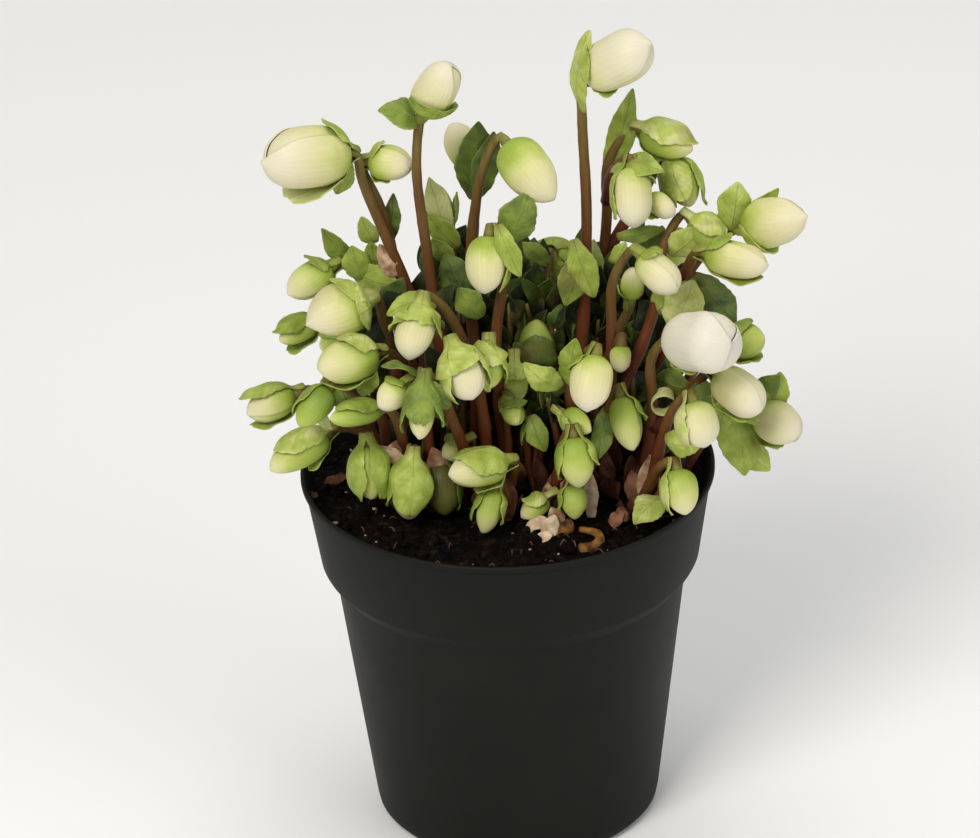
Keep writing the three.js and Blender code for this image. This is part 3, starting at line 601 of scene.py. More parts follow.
# %% Leafy stems at the left
left_stems = [
    stem((-20, 16), [
        flower(0.08, [(-26, 10, 160), (-33, 8, 183), (-38.5, 7, 200)], (-43, 6, 210), (-66, -6, 215), 8.7,
               [cup(DOWN, 0.62, 55, 4, -0.15), cup(UP, 0.3, 45, 0, 0.2)]),
        flower(0.3, [(-29, 16, 157), (-33, 13, 186)], (-36, 12, 204), (-24, 8, 205), 5,
               [cup(DOWN, 0.4, 45, 0, 0.3), cup(UP, 0.35, 50, 0, 0.25)]),
    ], [
        leaf((-31.5, 14.5, 177), (-30, 17, 191), 2.6, FRONT, 1, 0.8),
        leaf((-42.5, 5, 208.5), (-46, 3, 198.5), 3.6, FRONT, 1.5, 0.4),
    ]),
    stem((-11, 3), [
        flower(0.12, [(-19, 8, 154), (-21, 6, 178), (-23, 5, 205)], (-20, 4, 224), (-12, -2, 241), 5.9,
               [cup((0.3, -0.95, 0), 0.42, 95, 0.4, 0.42)]),
        flower(0.15, [(-9, -6, 143), (-13, -9, 160), (-18, -13, 171)], (-23, -18, 173), (-27, -28, 161),
               5.2, [cup(LEFT, 0.55, 65, 1.5, 0.25), cup(RIGHT, 0.5, 50, 2, 0.3),
                     cup((0.2, -0.3, 1), 0.4, 85, 0.8, 0.14)]),
    ], [
        leaf((-22, 5, 219), (-33.5, 2, 225), 5.2, (0, -0.6, 1), 3.5, 0.5),
        leaf((-19, -14, 171.5), (-33, -20, 171), 4.5, (0, -0.6, 1), 3.5, 0.25),
    ]),
    stem((-6, 24), [
        flower(0.3, [(-9, 28, 150), (-7, 30, 175)], (-7, 31, 192), (-13, 34, 204), 4.9),
        flower(0.3, [(-9, 16, 158), (-7, 11, 187), (-3, 9, 205)], (3, 8, 210), (16, -4, 198), 6.8),
        flower(0.4, [(-12, 25, 152), (-14, 22, 169)], (-15, 22, 177), (-19, 25, 190), 3.7,
               [cup(LEFT, 0.5, 50, 1, 0.6), cup(RIGHT, 0.6, 50, 1.5, 0.35)]),
    ], [
        leaf((-7, 30, 181), (-5, 22, 210.5), 6.4, FRONT, 2, 0.66),
        leaf((-6, 26, 184), (-0.5, 22, 207.5), 4.4, FRONT, 2, 0.72),
    ]),
]

# %% Leafy stems at the right
right_stems = [
    stem((20, 9), [
        flower(0.0, [(23, 10, 148), (25, 7, 187), (24.5, 5.5, 219)], (27, 5, 232.5), (44, -4, 246.5), 7.4,
               [cup(LEFT, 0.32, 50, 0, 0.2), cup(DOWN, 0.18, 45, 0, 0.3)]),
        flower(0.45, [(32, 7, 146)], (37, 5, 161), (38, 4, 171), 3.2, [cup(LEFT, 0.5, 60, 0.5, 0.4)]),
    ], [
        leaf((24.5, 5, 221), (27.5, 4, 247.5), 4.4, (-0.8, -0.6, 0), 3, 0.15),
        leaf((24, 8, 176), (18, 3, 160), 5, FRONT, 2, 0.45),
    ]),
    stem((27, 20), [
        flower(0.6, [(28, 21, 146), (31, 21, 179), (32, 21, 197)], (42, 22, 206), (56, 16, 202), 4.9,
               [cup(UP, 1.05, 75, 0.5, 0.08), cup(DOWN, 0.5, 50, 1, 0.3)]),
        branch(0.08, [(31, 21, 184), (33, 14, 197)], (38, 6, 202), (38, -4, 188), 5.3,
               [cup(LEFT, 0.85, 45, 0.3, 0.25), cup(RIGHT, 0.25, 50, 0.5, 0.35)]),
        branch(0.75, [(29.5, 21, 165), (42, 23, 186)], (50, 20, 197), (55, 14, 185), 4.9,
               [cup(RIGHT, 1.1, 45, 2, 0.2), cup((-1, -0.6, 0), 0.9, 50, 1.5, 0.2),
                cup(FRONT, 0.85, 45, 1, 0.12)]),
    ], [
        leaf((31.5, 22, 190), (39.5, 25, 218), 4.2, FRONT, 2, 0.32),
        leaf((32.5, 12, 199), (47.5, 0, 203), 5.2, (0, -0.5, 1), 3.5, 0.3),
    ]),
    stem((41, 10), [
        flower(0.28, [(50, 13, 155), (61, 10, 175)], (71, 6, 182), (87, -4, 190), 7.2,
               [cup((0, -0.7, -0.7), 0.35, 75, 0.3, 0.2)]),
        branch(0.24, [(50, 13, 155), (54, 0, 174)], (59, -6, 180), (76, -14, 180), 5.2,
               [cup(DOWN, 0.9, 50, 1, 0.25), cup(UP, 0.4, 50, 0.5, 0.3)]),
    ], [
        leaf((66, 8, 179.5), (68.5, 6, 196.5), 5.4, FRONT, 1, 0.15),
        leaf((69, 7, 181), (80, 6, 194), 3.4, FRONT, 1, 0.25),
        leaf((55, 12, 164), (67, 5, 151), 5.5, (0.3, -1, 0.3), 2, 0.8),
    ]),
    stem((30, -2), [
        flower(0.08, [(31, -6, 156), (32, -8, 174)], (40, -12, 183), (50, -20, 176), 4.8,
               [cup(UP, 0.3, 50, 0, 0.35)]),
        branch(0.8, [(30.5, -4, 128), (43, 3, 156), (47, 5, 178)], (55, 8, 183.5), (64, 2, 178), 4.3,
               [cup(UP, 0.9, 65, 0.5, 0.08)]),
        branch(0.2, [(31, -6, 145), (33, -7, 153)], (33.6, -9.5, 153), (33, -12, 146), 2.9),
    ], [leaf((43.5, 3, 157), (54, 0, 168), 6, FRONT, 1.5, 0.2)]),
    stem((38, -15), [
        flower(-0.3, [(42, -14, 135), (42, -16, 152)], (48, -21, 160.5), (64.5, -38.5, 168.5), 8,
               [cup(DOWN, 0.3, 40, 0, 0.3)]),
        branch(0.08, [(41.5, -14, 128), (54, -14, 141)], (61, -18, 147), (73, -30, 142), 5.9,
               [cup(DOWN, 0.8, 45, 1.5, 0.3)]),
        flower(0.08, [(44, -22, 128), (48, -29, 143)], (53, -34, 147), (56, -42, 137), 5.6,
               [cup(LEFT, 1, 60, 1, 0.0)]),
        flower(0.42, [(41, -23, 116), (44, -28, 124)], (48, -30, 123), (50, -38, 113), 4.9,
               [cup(LEFT, 0.95, 55, 0.5, 0.12), cup(BACK, 0.7, 50, 1, 0.35)]),
    ], [
        leaf((57, -15, 144), (53, -20, 133), 4, (-0.3, -1, 0), 1, 0.75),
        leaf((44, -25, 111.5), (35.5, -33, 107.5), 4.6, (0, -0.6, 1), 2, 0.12),
    ]),
    stem((46, -2), [
        flower(0.16, [(60, -1, 122), (67, -3, 130)], (73, -6, 128), (84, -16, 125), 5.9,
               [cup(DOWN, 0.6, 45, 1, 0.3)]),
        flower(0.95, [(53, 4, 134), (60, 4, 143)], (65, 4, 145), (75, 0, 149), 4.9,
               [cup(UP, 0.8, 60, 1, 0.35), cup(DOWN, 0.7, 50, 1, 0.3)]),
    ], [
        leaf((70, -4, 129), (79, -8, 141), 4, (-0.4, -1, 0.3), 1, 0.6),
        leaf((66, -2.5, 129), (68, -14, 111.5), 6.8, (0.3, -1, 0.3), 2, 0.25),
        leaf((56, 4, 139), (49, 2, 164), 5, FRONT, 1.5, 0.35),
    ]),
]

# %% Leafy stems in front
front_stems = [
    stem((14, -13), [
        flower(0.12, [(19, -14, 127), (19, -22, 152)], (26, -30, 161), (23, -40, 149), 5.9,
               [cup(LEFT, 0.3, 45, 0, 0.35)]),
        flower(0.45, [(26, -13, 126), (30, -17, 138)], (33, -20, 142), (36, -28, 129), 4.2,
               [cup(RIGHT, 0.5, 45, 0.5, 0.3)]),
        flower(0.51, [(15, -20, 120), (16, -26, 131)], (19, -30, 135), (20, -36, 122), 4.9,
               [cup(LEFT, 0.8, 50, 0.5, 0.35), cup(RIGHT, 0.6, 50, 0.5, 0.3)]),
        flower(0.8, [(16.5, -19, 112)], (18.5, -26, 117), (18.5, -31, 109), 3.4,
               [cup(LEFT, 0.8, 50, 0.5, 0.3)]),
    ], [
        leaf((19, -21, 147), (20.5, -27, 165.5), 4.6, (-0.4, -1, 0), 2, 0.3),
        leaf((29, -16, 137), (26, -27, 126), 3.6, (-0.3, -1, 0.2), 1, 0.65),
    ]),
    stem((-4, -16), [
        flower(0.4, [(1, -20, 117)], (-1, -27, 126), (-17, -35, 127), 5.2,
               [cup((0.3, 0.2, 1), 0.85, 95, 0.5, 0.2), cup(DOWN, 0.5, 40, 1, 0.2)]),
        flower(0.51, [(0, -21, 108)], (-4, -27, 117), (-8, -33, 106.5), 3.6,
               [cup(LEFT, 0.8, 50, 0.5, 0.3), cup(RIGHT, 0.7, 50, 0.5, 0.25)]),
        flower(0.4, [(-15, -24, 138), (-19, -32, 154)], (-23, -36, 158), (-25, -42, 143), 4,
               [cup(FRONT, 0.72, 65, 0.5, 0.5), cup(LEFT, 0.9, 45, 2, 0.6), cup(RIGHT, 0.75, 50, 2.5, 0.55)]),
        flower(0.12, [(-7, -17, 141), (-10, -23, 158)], (-14, -28, 164), (-9, -38, 153), 5.8,
               [cup((-0.6, -0.3, 0.9), 0.55, 85, 1.2, 0.12), cup(LEFT, 0.95, 60, 2, 0.15),
                cup(RIGHT, 0.95, 45, 2, 0.2)]),
    ]),
    stem((-20, -12), [
        flower(0.75, [(-25, -16, 120)], (-27, -23, 126), (-29, -28, 109), 5.5,
               [cup(FRONT, 0.9, 65, 0.5, 0.22), cup(LEFT, 0.8, 45, 1, 0.3)]),
        flower(1.45, [(-17, -14, 115)], (-19, -18.5, 121.5), (-18.5, -22.5, 107), 4.9,
               [cup(RIGHT, 0.9, 50, 0.5, 0.75)]),
        flower(0.3, [(-23, -18, 136), (-25, -27, 151)], (-29, -31, 154), (-36, -37, 151), 4,
               [cup(UP, 0.4, 50, 0, 0.35)]),
    ]),
    stem((-32, -7), [
        flower(0.85, [(-36, -12, 120)], (-40, -20, 129), (-39, -26, 115), 5,
               [cup((-0.8, -0.6, 0), 1, 50, 1.5, 0.3), cup((0.8, -0.6, 0), 1, 50, 1, 0.35)]),
        flower(0.7, [(-36, -6, 122), (-43, -8, 128)], (-52, -12, 129), (-68, -20, 122), 4.9,
               [cup(UP, 0.8, 65, 0.5, 0.1), cup(DOWN, 0.5, 45, 0.5, 0.25)]),
        flower(1.1, [(-36, -14, 136), (-44, -21, 148)], (-50, -24, 150), (-59, -30, 142), 4.3,
               [cup(LEFT, 0.9, 55, 0.5, 0.35)]),
        flower(1.0, [(-30, -17, 130)], (-36, -26, 144), (-50, -36, 147), 3.3,
               [cup(UP, 0.9, 60, 0.5, 0.35)]),
    ]),
    stem((-30, 7), [
        flower(0.3, [(-40, 2, 126), (-50, -4, 138)], (-61, -6, 139), (-74, -12, 136), 4.8,
               [cup((0, 0.35, 1), 1.05, 52, 3, 0.22), cup(DOWN, 1, 35, 1, 0.25)]),
        flower(0.32, [(-32, 4, 135), (-34, 0, 157)], (-39, -8, 170), (-55, -16, 167), 7.5,
               [cup(UP, 0.45, 60, 0.6, 0.12), cup((0.2, -1, 0.2), 0.32, 55, 0.5, 0.1)]),
        branch(0.42, [(-32, 4, 132), (-31, -9, 151)], (-37, -18, 158), (-53, -28, 159), 6.3,
               [cup(DOWN, 0.9, 55, 1, 0.25), cup(UP, 0.6, 55, 0.5, 0.1)]),
    ]),
    stem((2, -3), [
        flower(0.2, [(-2, 0, 151), (1, -2, 178)], (-3, -8, 189), (-5, -16, 175), 5.5,
               [cup(RIGHT, 0.95, 40, 1.5, 0.3)]),
        flower(0.8, [(-2, -9, 137), (-2, -15, 155)], (-4, -20, 160), (-4, -26, 150), 3.7,
               [cup(RIGHT, 0.9, 50, 1.5, 0.35), cup(LEFT, 0.8, 45, 1, 0.3), cup(UP, 0.5, 80, 0.8, 0.15)]),
        flower(0.75, [(4, -2, 136)], (3, -5, 146), (3, -12, 137), 3.5, [cup(UP, 0.5, 60, 0.5, 0.22)]),
    ], [leaf((1, -4, 184), (9, -4, 201), 6, FRONT, 2, 0.6)]),
    stem((-33, 19), [
        flower(0.42, [(-34, 18, 150), (-42, 15, 167)], (-49, 12, 170), (-61, 6, 165), 4.9,
               [cup(UP, 0.35, 55, 0.5, 0.4), cup(DOWN, 0.4, 60, 0.5, 0.45)]),
        branch(0.7, [(-34, 18, 132), (-45, 12, 150)], (-54, 8, 155), (-64, 2, 152), 3.7,
               [cup(UP, 1.1, 55, 2, 0.35), cup(DOWN, 0.9, 45, 1.5, 0.3)]),
    ], [
        leaf((-41, 15.3, 166), (-51, 15, 181.6), 3.4, FRONT, 1, 0.45),
        leaf((-43.5, 14.5, 168.5), (-29, 8, 166), 5, FRONT, 2, 0.32),
    ]),
    stem((10, 6), [
        flower(1.2, [(10, 8, 122)], (10, 10, 136), (10, 12, 151), 5, [cup(FRONT, 0.8, 65, 0.5, 0.8)]),
    ], [leaf((10, 9, 131), (3, 4, 148), 3.5, FRONT, 1, 0.85)]),
]

# %% Leafy stems at the back
back_stems = [
    stem((8, 36), [
        flower(0.2, [(9, 38, 132), (12, 41, 148)], (15, 46, 154), (17, 56, 144), 5.5,
               [cup(UP, 0.6, 60, 1, 0.35), cup(DOWN, 0.5, 50, 0.5, 0.3)]),
        flower(0.75, [(2, 40, 128), (-2, 46, 142)], (-4, 51, 144), (-8, 58, 135), 4.5,
               [cup(UP, 0.7, 60, 1, 0.3)]),
    ], [leaf((8, 38, 134), (16, 46, 144), 5, BACK, 1.5, 0.7)]),
    stem((-19, 33), [
        flower(0.2, [(-22, 36, 130), (-27, 40, 145)], (-31, 44, 149), (-38, 52, 141), 5.5,
               [cup(UP, 0.6, 60, 1, 0.3), cup(DOWN, 0.5, 50, 0.5, 0.35)]),
        flower(0.8, [(-26, 35, 122), (-37, 37, 132)], (-43, 39, 133), (-53, 44, 127), 4.5,
               [cup(UP, 0.8, 60, 1, 0.35)]),
    ], [leaf((-20, 35, 130), (-13, 43, 146), 4.5, BACK, 1.5, 0.6)]),
    stem((33, 34), [
        flower(0.15, [(37, 37, 134), (42, 40, 151)], (47, 43, 156), (56, 50, 148), 5.7,
               [cup(UP, 0.5, 60, 1, 0.35), cup(DOWN, 0.5, 50, 0.5, 0.25)]),
        flower(0.75, [(41, 36, 122), (51, 36, 132)], (57, 38, 134), (66, 42, 127), 4.5,
               [cup(UP, 0.8, 60, 1, 0.3)]),
    ]),
]
leafy_stems = left_stems + right_stems + front_stems + back_stems


def flowers_of(stems):
    return [one for item in stems for one in item["flowers"]]


print("leafy stems:", len(leafy_stems), "buds:", len(flowers_of(leafy_stems)))

# %% [markdown]
# Between the large stems grow smaller things that are too thin for the solids: short shoots with a
# small bud, and leaves that clasp the stalks half way up. They are listed in the same words.

# %% Small shoots and leaves
small_stems = [
    stem((38, 19), [flower(0.2, [(40, 17, 150), (41, 14, 180)], (43, 8, 191.5), (50, 3, 188), 3.1,
                           [cup(DOWN, 0.5, 50, 0.5, 0.2)])]),
    stem((20, -13), [flower(0.75, [(21, -14, 120), (17.5, -16, 131.5)], (17, -20, 137.5), (24, -26, 134.5),
                            3.2, [cup(LEFT, 0.8, 55, 1, 0.15)])]),
    stem((13, -15), [flower(0.6, [(13, -17, 107)], (11, -22, 110.5), (3.5, -26, 107), 3,
                            [cup(UP, 0.7, 60, 0.5, 0.1)])]),
    stem((0, -9), [flower(0.85, [(0.5, -10, 124), (0, -12, 134)], (1.5, -14, 138), (3.5, -20, 134.5), 3.2,
                          [cup(UP, 0.6, 60, 0.5, 0.5)])]),
    stem((-11, -11), [flower(0.4, [(-11.5, -12, 115.5)], (-12.5, -17, 127), (-18.5, -20, 125), 3.2,
                             [cup(UP, 0.7, 60, 0.5, 0.4)])]),
    stem((7, -5), [flower(0.9, [(6.5, -6, 111.5), (6, -8, 126)], (7.5, -10, 129), (9.5, -16, 125), 3.4,
                          [cup(LEFT, 0.7, 60, 0.5, 0.5)])]),
]
# painted shade: the darkest of these leaves, at 0.7 and more, fill gaps between the stalks where the plant
# lies in shadow
small_leaves = [
    leaf((-36, 15, 176), (-39.5, 14, 185.5), 3.2, FRONT, 1, 0.12),
    leaf((-36, 13, 169), (-37, 13, 178), 2.8, FRONT, 1, 0.4),
    leaf((-40, 11, 166.5), (-42.5, 12, 177), 4.4, FRONT, 1.5, 0.36),
    leaf((-14.5, 20, 175), (-19.5, 20, 194.5), 4, (-0.3, -1, 0.5), 1.5, -0.15),
    leaf((-12, 18, 172), (-20.5, 18, 183.5), 3.8, FRONT, 1.5, 0.35),
    leaf((-13.5, 15, 168), (-19.5, 15, 177), 3, FRONT, 1, 0.5),
    leaf((-8, 9, 157.5), (-16, 11, 174), 6, FRONT, 2, 0.85),
    leaf((-6, 6, 155.5), (-12.5, 7, 165), 4.6, FRONT, 1.5, 0.5),
    leaf((-0.5, -12, 195), (5.5, -16, 180), 3.3, FRONT, 1.5, 0.3),
    leaf((14, 16, 167), (6.5, 15, 175), 3, FRONT, 1, 0.45),
    leaf((21, 3, 181.5), (26.5, 0, 164), 4.4, FRONT, 2, 0.3),
    leaf((27, 17, 156.5), (27, 17, 174), 2.8, FRONT, 1, 0.05),
    leaf((-5, -22, 163.5), (-5, -26, 148.5), 3.6, FRONT, 1.5, 0.25),
    leaf((-8, -21, 162), (-1, -25, 156.5), 3.4, FRONT, 2, 0.15),
    leaf((16, -24, 148), (5.5, -26, 157.5), 4.4, FRONT, 2, 0.22),
    leaf((22, -18, 130), (14.5, -22, 139), 2.6, FRONT, 1, 0.1),
    leaf((7, -14, 134), (11, -18, 124), 3.4, FRONT, 2, 0.45),
    leaf((-1.5, -14, 140), (4.5, -18, 135.5), 3, FRONT, 1.5, 0.35),
    leaf((-50.5, -16, 132), (-53.5, -20, 141), 1.8, FRONT, 0.6, 0.0),
    leaf((-43.5, -20, 145.5), (-36.5, -22, 155.5), 4.2, FRONT, 1.5, 0.35),
    leaf((-24.5, -30, 157.5), (-35, -31, 161), 3, UP, 1.5, 0.6),
    leaf((-24.5, -34, 157), (-15.5, -36, 149.5), 4.4, FRONT, 2, 0.62),
    leaf((33.5, 9, 178.5), (47.5, 8, 181.5), 2.6, FRONT, 1, 0.5),
    leaf((48.5, 6, 174), (58, 4, 183.5), 5.2, FRONT, 2, 0.12),
    leaf((32, 8, 170.5), (36, 8, 177.5), 2.6, FRONT, 1, 0.2),
    leaf((48.5, -4, 154.5), (55, -2, 169.5), 6.5, FRONT, 2, 0.08),
    leaf((54, -16, 139), (63, -18, 143), 4.6, FRONT, 2, 0.62),
    leaf((45, -26, 131.5), (55.5, -31, 132), 4.8, FRONT, 2, 0.2),
    leaf((63, -22, 142.5), (61, -24, 134), 3.2, FRONT, 1, 0.5),
    leaf((67.5, -22, 141.5), (71.5, -26, 135), 3.2, FRONT, 1, 0.45),
    leaf((77, -8, 128.5), (79, -6, 141), 3.8, FRONT, 1, 0.35),
    leaf((65, -6, 121.5), (75.5, -10, 110.5), 4.8, FRONT, 1.5, 0.2),
    leaf((53, -12.5, 140), (44, -6, 141), 5, FRONT, 1.5, 0.7),
    leaf((-45, -1.5, 131), (-47.5, -6, 143.5), 5, FRONT, 1.5, 0.55),
    leaf((40.5, 15, 167), (47, 12, 180), 4.6, FRONT, 1.5, 0.6),
]
print("small shoots:", len(small_stems), "small leaves:", len(small_leaves))

# %% [markdown]
# ## Stalks
# A stalk is a round, slightly uneven tube. A ring of points is extruded from place to place along
# a smooth curve, and each new ring is turned to face along it, so the tube keeps its width in the
# tight nod under the bud. It swells at its foot, at a joint on the way and in the seat of its bud. A
# curve with a round bevel makes a tube as well; rings are used here, because each of them can store
# how far up the stalk it lies.

# %% A smooth path
def curve_place(before, start, end, after, share):
    """A place on the smooth curve from start to end; the neighbours before and after bend it."""
    ahead = end - start
    first, middle, last = (sqrt(way.length) for way in (start - before, ahead, after - end))
    leaving = ((start - before) / first - (end - before) / (first + middle) + ahead / middle) * middle
    arriving = (ahead / middle - (after - start) / (middle + last) + (after - end) / last) * middle
    square = share * share
    return (start + leaving * share + (3 * ahead - 2 * leaving - arriving) * square
            + (2 * (start - end) + leaving + arriving) * square * share)


def smooth_path(points, spacing):
    """Places along a smooth curve through the points, about one spacing apart."""
    ends = [2 * points[0] - points[1], *points, 2 * points[-1] - points[-2]]
    places = []
    for before, start, end, after in zip(ends, ends[1:], ends[2:], ends[3:]):
        count = max(2, round((end - start).length / spacing))
        places += [curve_place(before, start, end, after, step / count) for step in range(count)]
    return [*places, points[-1]]


# %% A stalk
STALK_SIDES = 14
RING_SPACING = 2.2
TAPER = 0.5
FOOT, FOOT_FADE = 1.1, 16           # how much wider, and how soon that fades
SEAT, SEAT_FADE = 0.6, 30
KNUCKLE, KNUCKLE_FADE = 0.28, 26
UNEVEN = 0.14


def tube(mesh, path, girth, sides=STALK_SIDES, finish=0):
    """A closed tube along a path; girth(share, place) is its radius there."""
    along = mesh.verts.layers.float["along"]
    turn = (path[1] - path[0]).to_track_quat("Z", "Y")
    matrices = []
    for index, place in enumerate(path):
        forward = path[min(index + 1, len(path) - 1)] - path[max(index - 1, 0)]
        turn = (turn @ Vector((0, 0, 1))).rotation_difference(forward) @ turn
        width = girth(index / (len(path) - 1), place)
        matrices.append(Matrix.LocRotScale(place * MM, turn, Vector((width, width, width)) * MM))
    ring = bmesh.ops.create_circle(mesh, segments=sides, radius=1, matrix=matrices[0])["verts"]
    edges = list(dict.fromkeys(edge for vert in ring for edge in vert.link_edges))
    bmesh.ops.edgeloop_fill(mesh, edges=edges)
    faces_before = len(mesh.faces) - 1
    for index in range(1, len(path)):
        made = bmesh.ops.extrude_edge_only(mesh, edges=edges)["geom"]
        ring = [item for item in made if isinstance(item, bmesh.types.BMVert)]
        edges = [item for item in made if isinstance(item, bmesh.types.BMEdge)]
        step = matrices[index] @ matrices[index - 1].inverted()
        bmesh.ops.transform(mesh, matrix=step, verts=ring)
        for vert in ring:
            vert[along] = index / (len(path) - 1)
    bmesh.ops.edgeloop_fill(mesh, edges=edges)
    mesh.faces.ensure_lookup_table()
    for face in mesh.faces[faces_before:]:
        face.material_index = finish


def stalk_path(item, root, middle):
    """The same route as the solid's: foot, places on the way, straight neck, bud."""
    base = Vector(item["base"])
    axis = (Vector(item["tip"]) - base).normalized()
    via = [Vector(place) for place in item["via"]]
    points = [*via, base - axis * NECK, base + axis * 0.5]
    if not item["branch"]:
        lean = (via[0] - middle) * Vector((1, 1, 0))
        start = Vector((*root, soil_top(*root) - 1))
        points.insert(0, start + lean.normalized() * FOOT_SPREAD)
    return smooth_path(points, RING_SPACING)


def stalk(mesh, item, root, middle, slimmer=0.0):
    path = stalk_path(item, root, middle)
    joint = 0.3 + 0.3 * noise.noise(Vector(item["base"]) * 0.37)

    def girth(share, place):
        foot = FOOT * exp(-share * FOOT_FADE) if not item["branch"] else 0
        seat = SEAT * exp((share - 1) * SEAT_FADE)
        knuckle = KNUCKLE * exp(-((share - joint) * KNUCKLE_FADE) ** 2)
        uneven = UNEVEN * noise.noise(place * 0.3)
        return STEM_RADIUS - 0.05 - slimmer - TAPER * share ** 2 + foot + seat + knuckle + uneven

    tube(mesh, path, girth)


# %% [markdown]
# All the stalks of one leafy stem rise from a woody foot, a lumpy knob that is half sunk in the
# peat. It starts as a ball that is stretched and pushed about by noise. Sculpting could do the same
# by hand, but noise gives every foot lumps of its own.

# %% Stalks and feet
WOODY = 1                           # the foot has the second finish of its piece
KNOB_SIZES = Vector((4.5, 4.5, 5))
KNOB_DEPTH = 1.5
SMALL_SLIMMER = 0.6


def lumpy_ball(mesh, centre, sizes, subdivisions, roughness, fineness, shift):
    made = bmesh.ops.create_icosphere(mesh, subdivisions=subdivisions, radius=1)["verts"]
    for vert in made:
        bulge = 1 + roughness * noise.noise(vert.co * fineness + shift)
        vert.co = (centre + vert.co * bulge * sizes) * MM
    return made


def knob(mesh, root, seed):
    centre = Vector((*root, soil_top(*root) - KNOB_DEPTH))
    made = lumpy_ball(mesh, centre, KNOB_SIZES, 3, 0.35, 1.7, Vector((seed, seed * 0.7, 3.1)))
    for face in {face for vert in made for face in vert.link_faces}:
        face.material_index = WOODY


def middle_of(flowers):
    """The mean first place of the stalks that start at the foot."""
    firsts = [Vector(item["via"][0]) for item in flowers if not item["branch"]]
    return sum(firsts, Vector()) / len(firsts)


for number, item in enumerate(leafy_stems, 1):
    mesh = new_bmesh()
    for one in item["flowers"]:
        stalk(mesh, one, item["root"], middle_of(item["flowers"]))
    knob(mesh, item["root"], number)
    new_piece(f"stalks_{number:02d}", mesh, [stalk_skin, dry_scale],
              [f"leafy_stem_{number:02d}"])

shoots = new_bmesh()
for item in small_stems:
    for one in item["flowers"]:
        stalk(shoots, one, item["root"], Vector(), SMALL_SLIMMER)
new_piece("small_shoots", shoots, [stalk_skin])
print("stalks:", len(flowers_of(leafy_stems + small_stems)))

# %% [markdown]
# ## Sheets
# Petals, bracts, leaves and scales are all thin sheets. Each starts as a flat grid, whose points
# are then moved to their places on the real surface. The grid's own columns and rows stay in the
# map of the sheet, where the finishes find its midrib and its tip. A sheet could be drawn by hand
# and copied, but a formula makes hundreds of them, no two alike.

# %% A sheet
def between(table, share):
    """A value from a table of (share, value) rows."""
    for (low, before), (high, after) in zip(table, table[1:]):
        if share <= high:
            return before + (after - before) * (share - low) / (high - low)
    return table[-1][1]


def sheet(mesh, columns, rows, place, tint):
    """A grid whose points go to place(across, up): across from -1 to 1, up from 0 to 1."""
    uv = mesh.loops.layers.uv["UVMap"]
    tint_layer = mesh.verts.layers.float["tint"]
    made = bmesh.ops.create_grid(mesh, x_segments=columns, y_segments=rows, size=1)["verts"]
    spots = {}
    for vert in made:
        across, up = vert.co.x, (vert.co.y + 1) / 2
        spots[vert] = ((across + 1) / 2, up)
        vert.co = place(across, up) * MM
        vert[tint_layer] = tint
    for face in {face for vert in made for face in vert.link_faces}:
        for loop in face.loops:
            loop[uv].uv = spots[loop.vert]


# %% [markdown]
# ## Buds
# A bud is an egg of five sepals that overlap. In each flower one broad sepal lies outside and turns
# to the light, a second one lies under its edge, and the others are almost hidden. SEPAL holds a
# sepal's rows from base to tip: how far along the bud, how far out, and how wide. SEPALS holds the
# middle of each of the five and half of what it covers, in degrees, its layer, and its reach. A ripe
# bud is fuller where SHOULDER says, and no bud is quite round: a soft noise dents it. The outer
# sepal of the large buds, and of some others, reaches a little past the rest, as a beak. One egg
# with painted seams would be simpler, but it has no edges that stand off and cast shadows.

# %% A bud
SEPAL = [(0.0, 0.28, 0.7), (0.05, 0.6, 0.86), (0.14, 0.86, 0.96), (0.27, 0.98, 1.0), (0.42, 1.0, 1.0),
         (0.57, 0.97, 1.0), (0.71, 0.86, 1.0), (0.83, 0.66, 0.98), (0.92, 0.42, 0.93), (0.98, 0.16, 0.85),
         (1.0, -0.07, 0.7)]
SHOULDER = [(0, 0), (0.5, 0), (0.75, 1), (0.93, 1), (1, 0)]
SEPALS = [(75, 46, 0.0, 0.94), (200, 46, 0.0, 0.94), (255, 52, 0.35, 0.96), (142, 74, 0.65, 0.98),
          (0, 80, 1.0, 1.0)]
EGG = [(along, girth) for along, girth, _ in SEPAL]
LIGHT = Vector((-0.2, -0.85, 0.5))
BEAK = 1.5
LARGE, SMALL = 7, 4.5               # radii: a larger bud has a beak, a smaller one fewer columns
BLUNT = -0.1                        # a bud with a smaller tint is no beaked one
RIPE, FULLNESS = 0.28, 0.55
TWIST = 0.25
DENT = 0.1
RIPPLE = 0.2
CREASE = 0.25
FINE_COLUMN, COARSE_COLUMN = 9, 15  # degrees


def axes_of(item, side):
    """Where a bud starts, its length, its axis, and the two directions across it."""
    start, way = Vector(item["base"]), Vector(item["tip"]) - Vector(item["base"])
    axis = way.normalized()
    outward = (side - axis * side.dot(axis)).normalized()
    return start, way.length, axis, outward, axis.cross(outward)


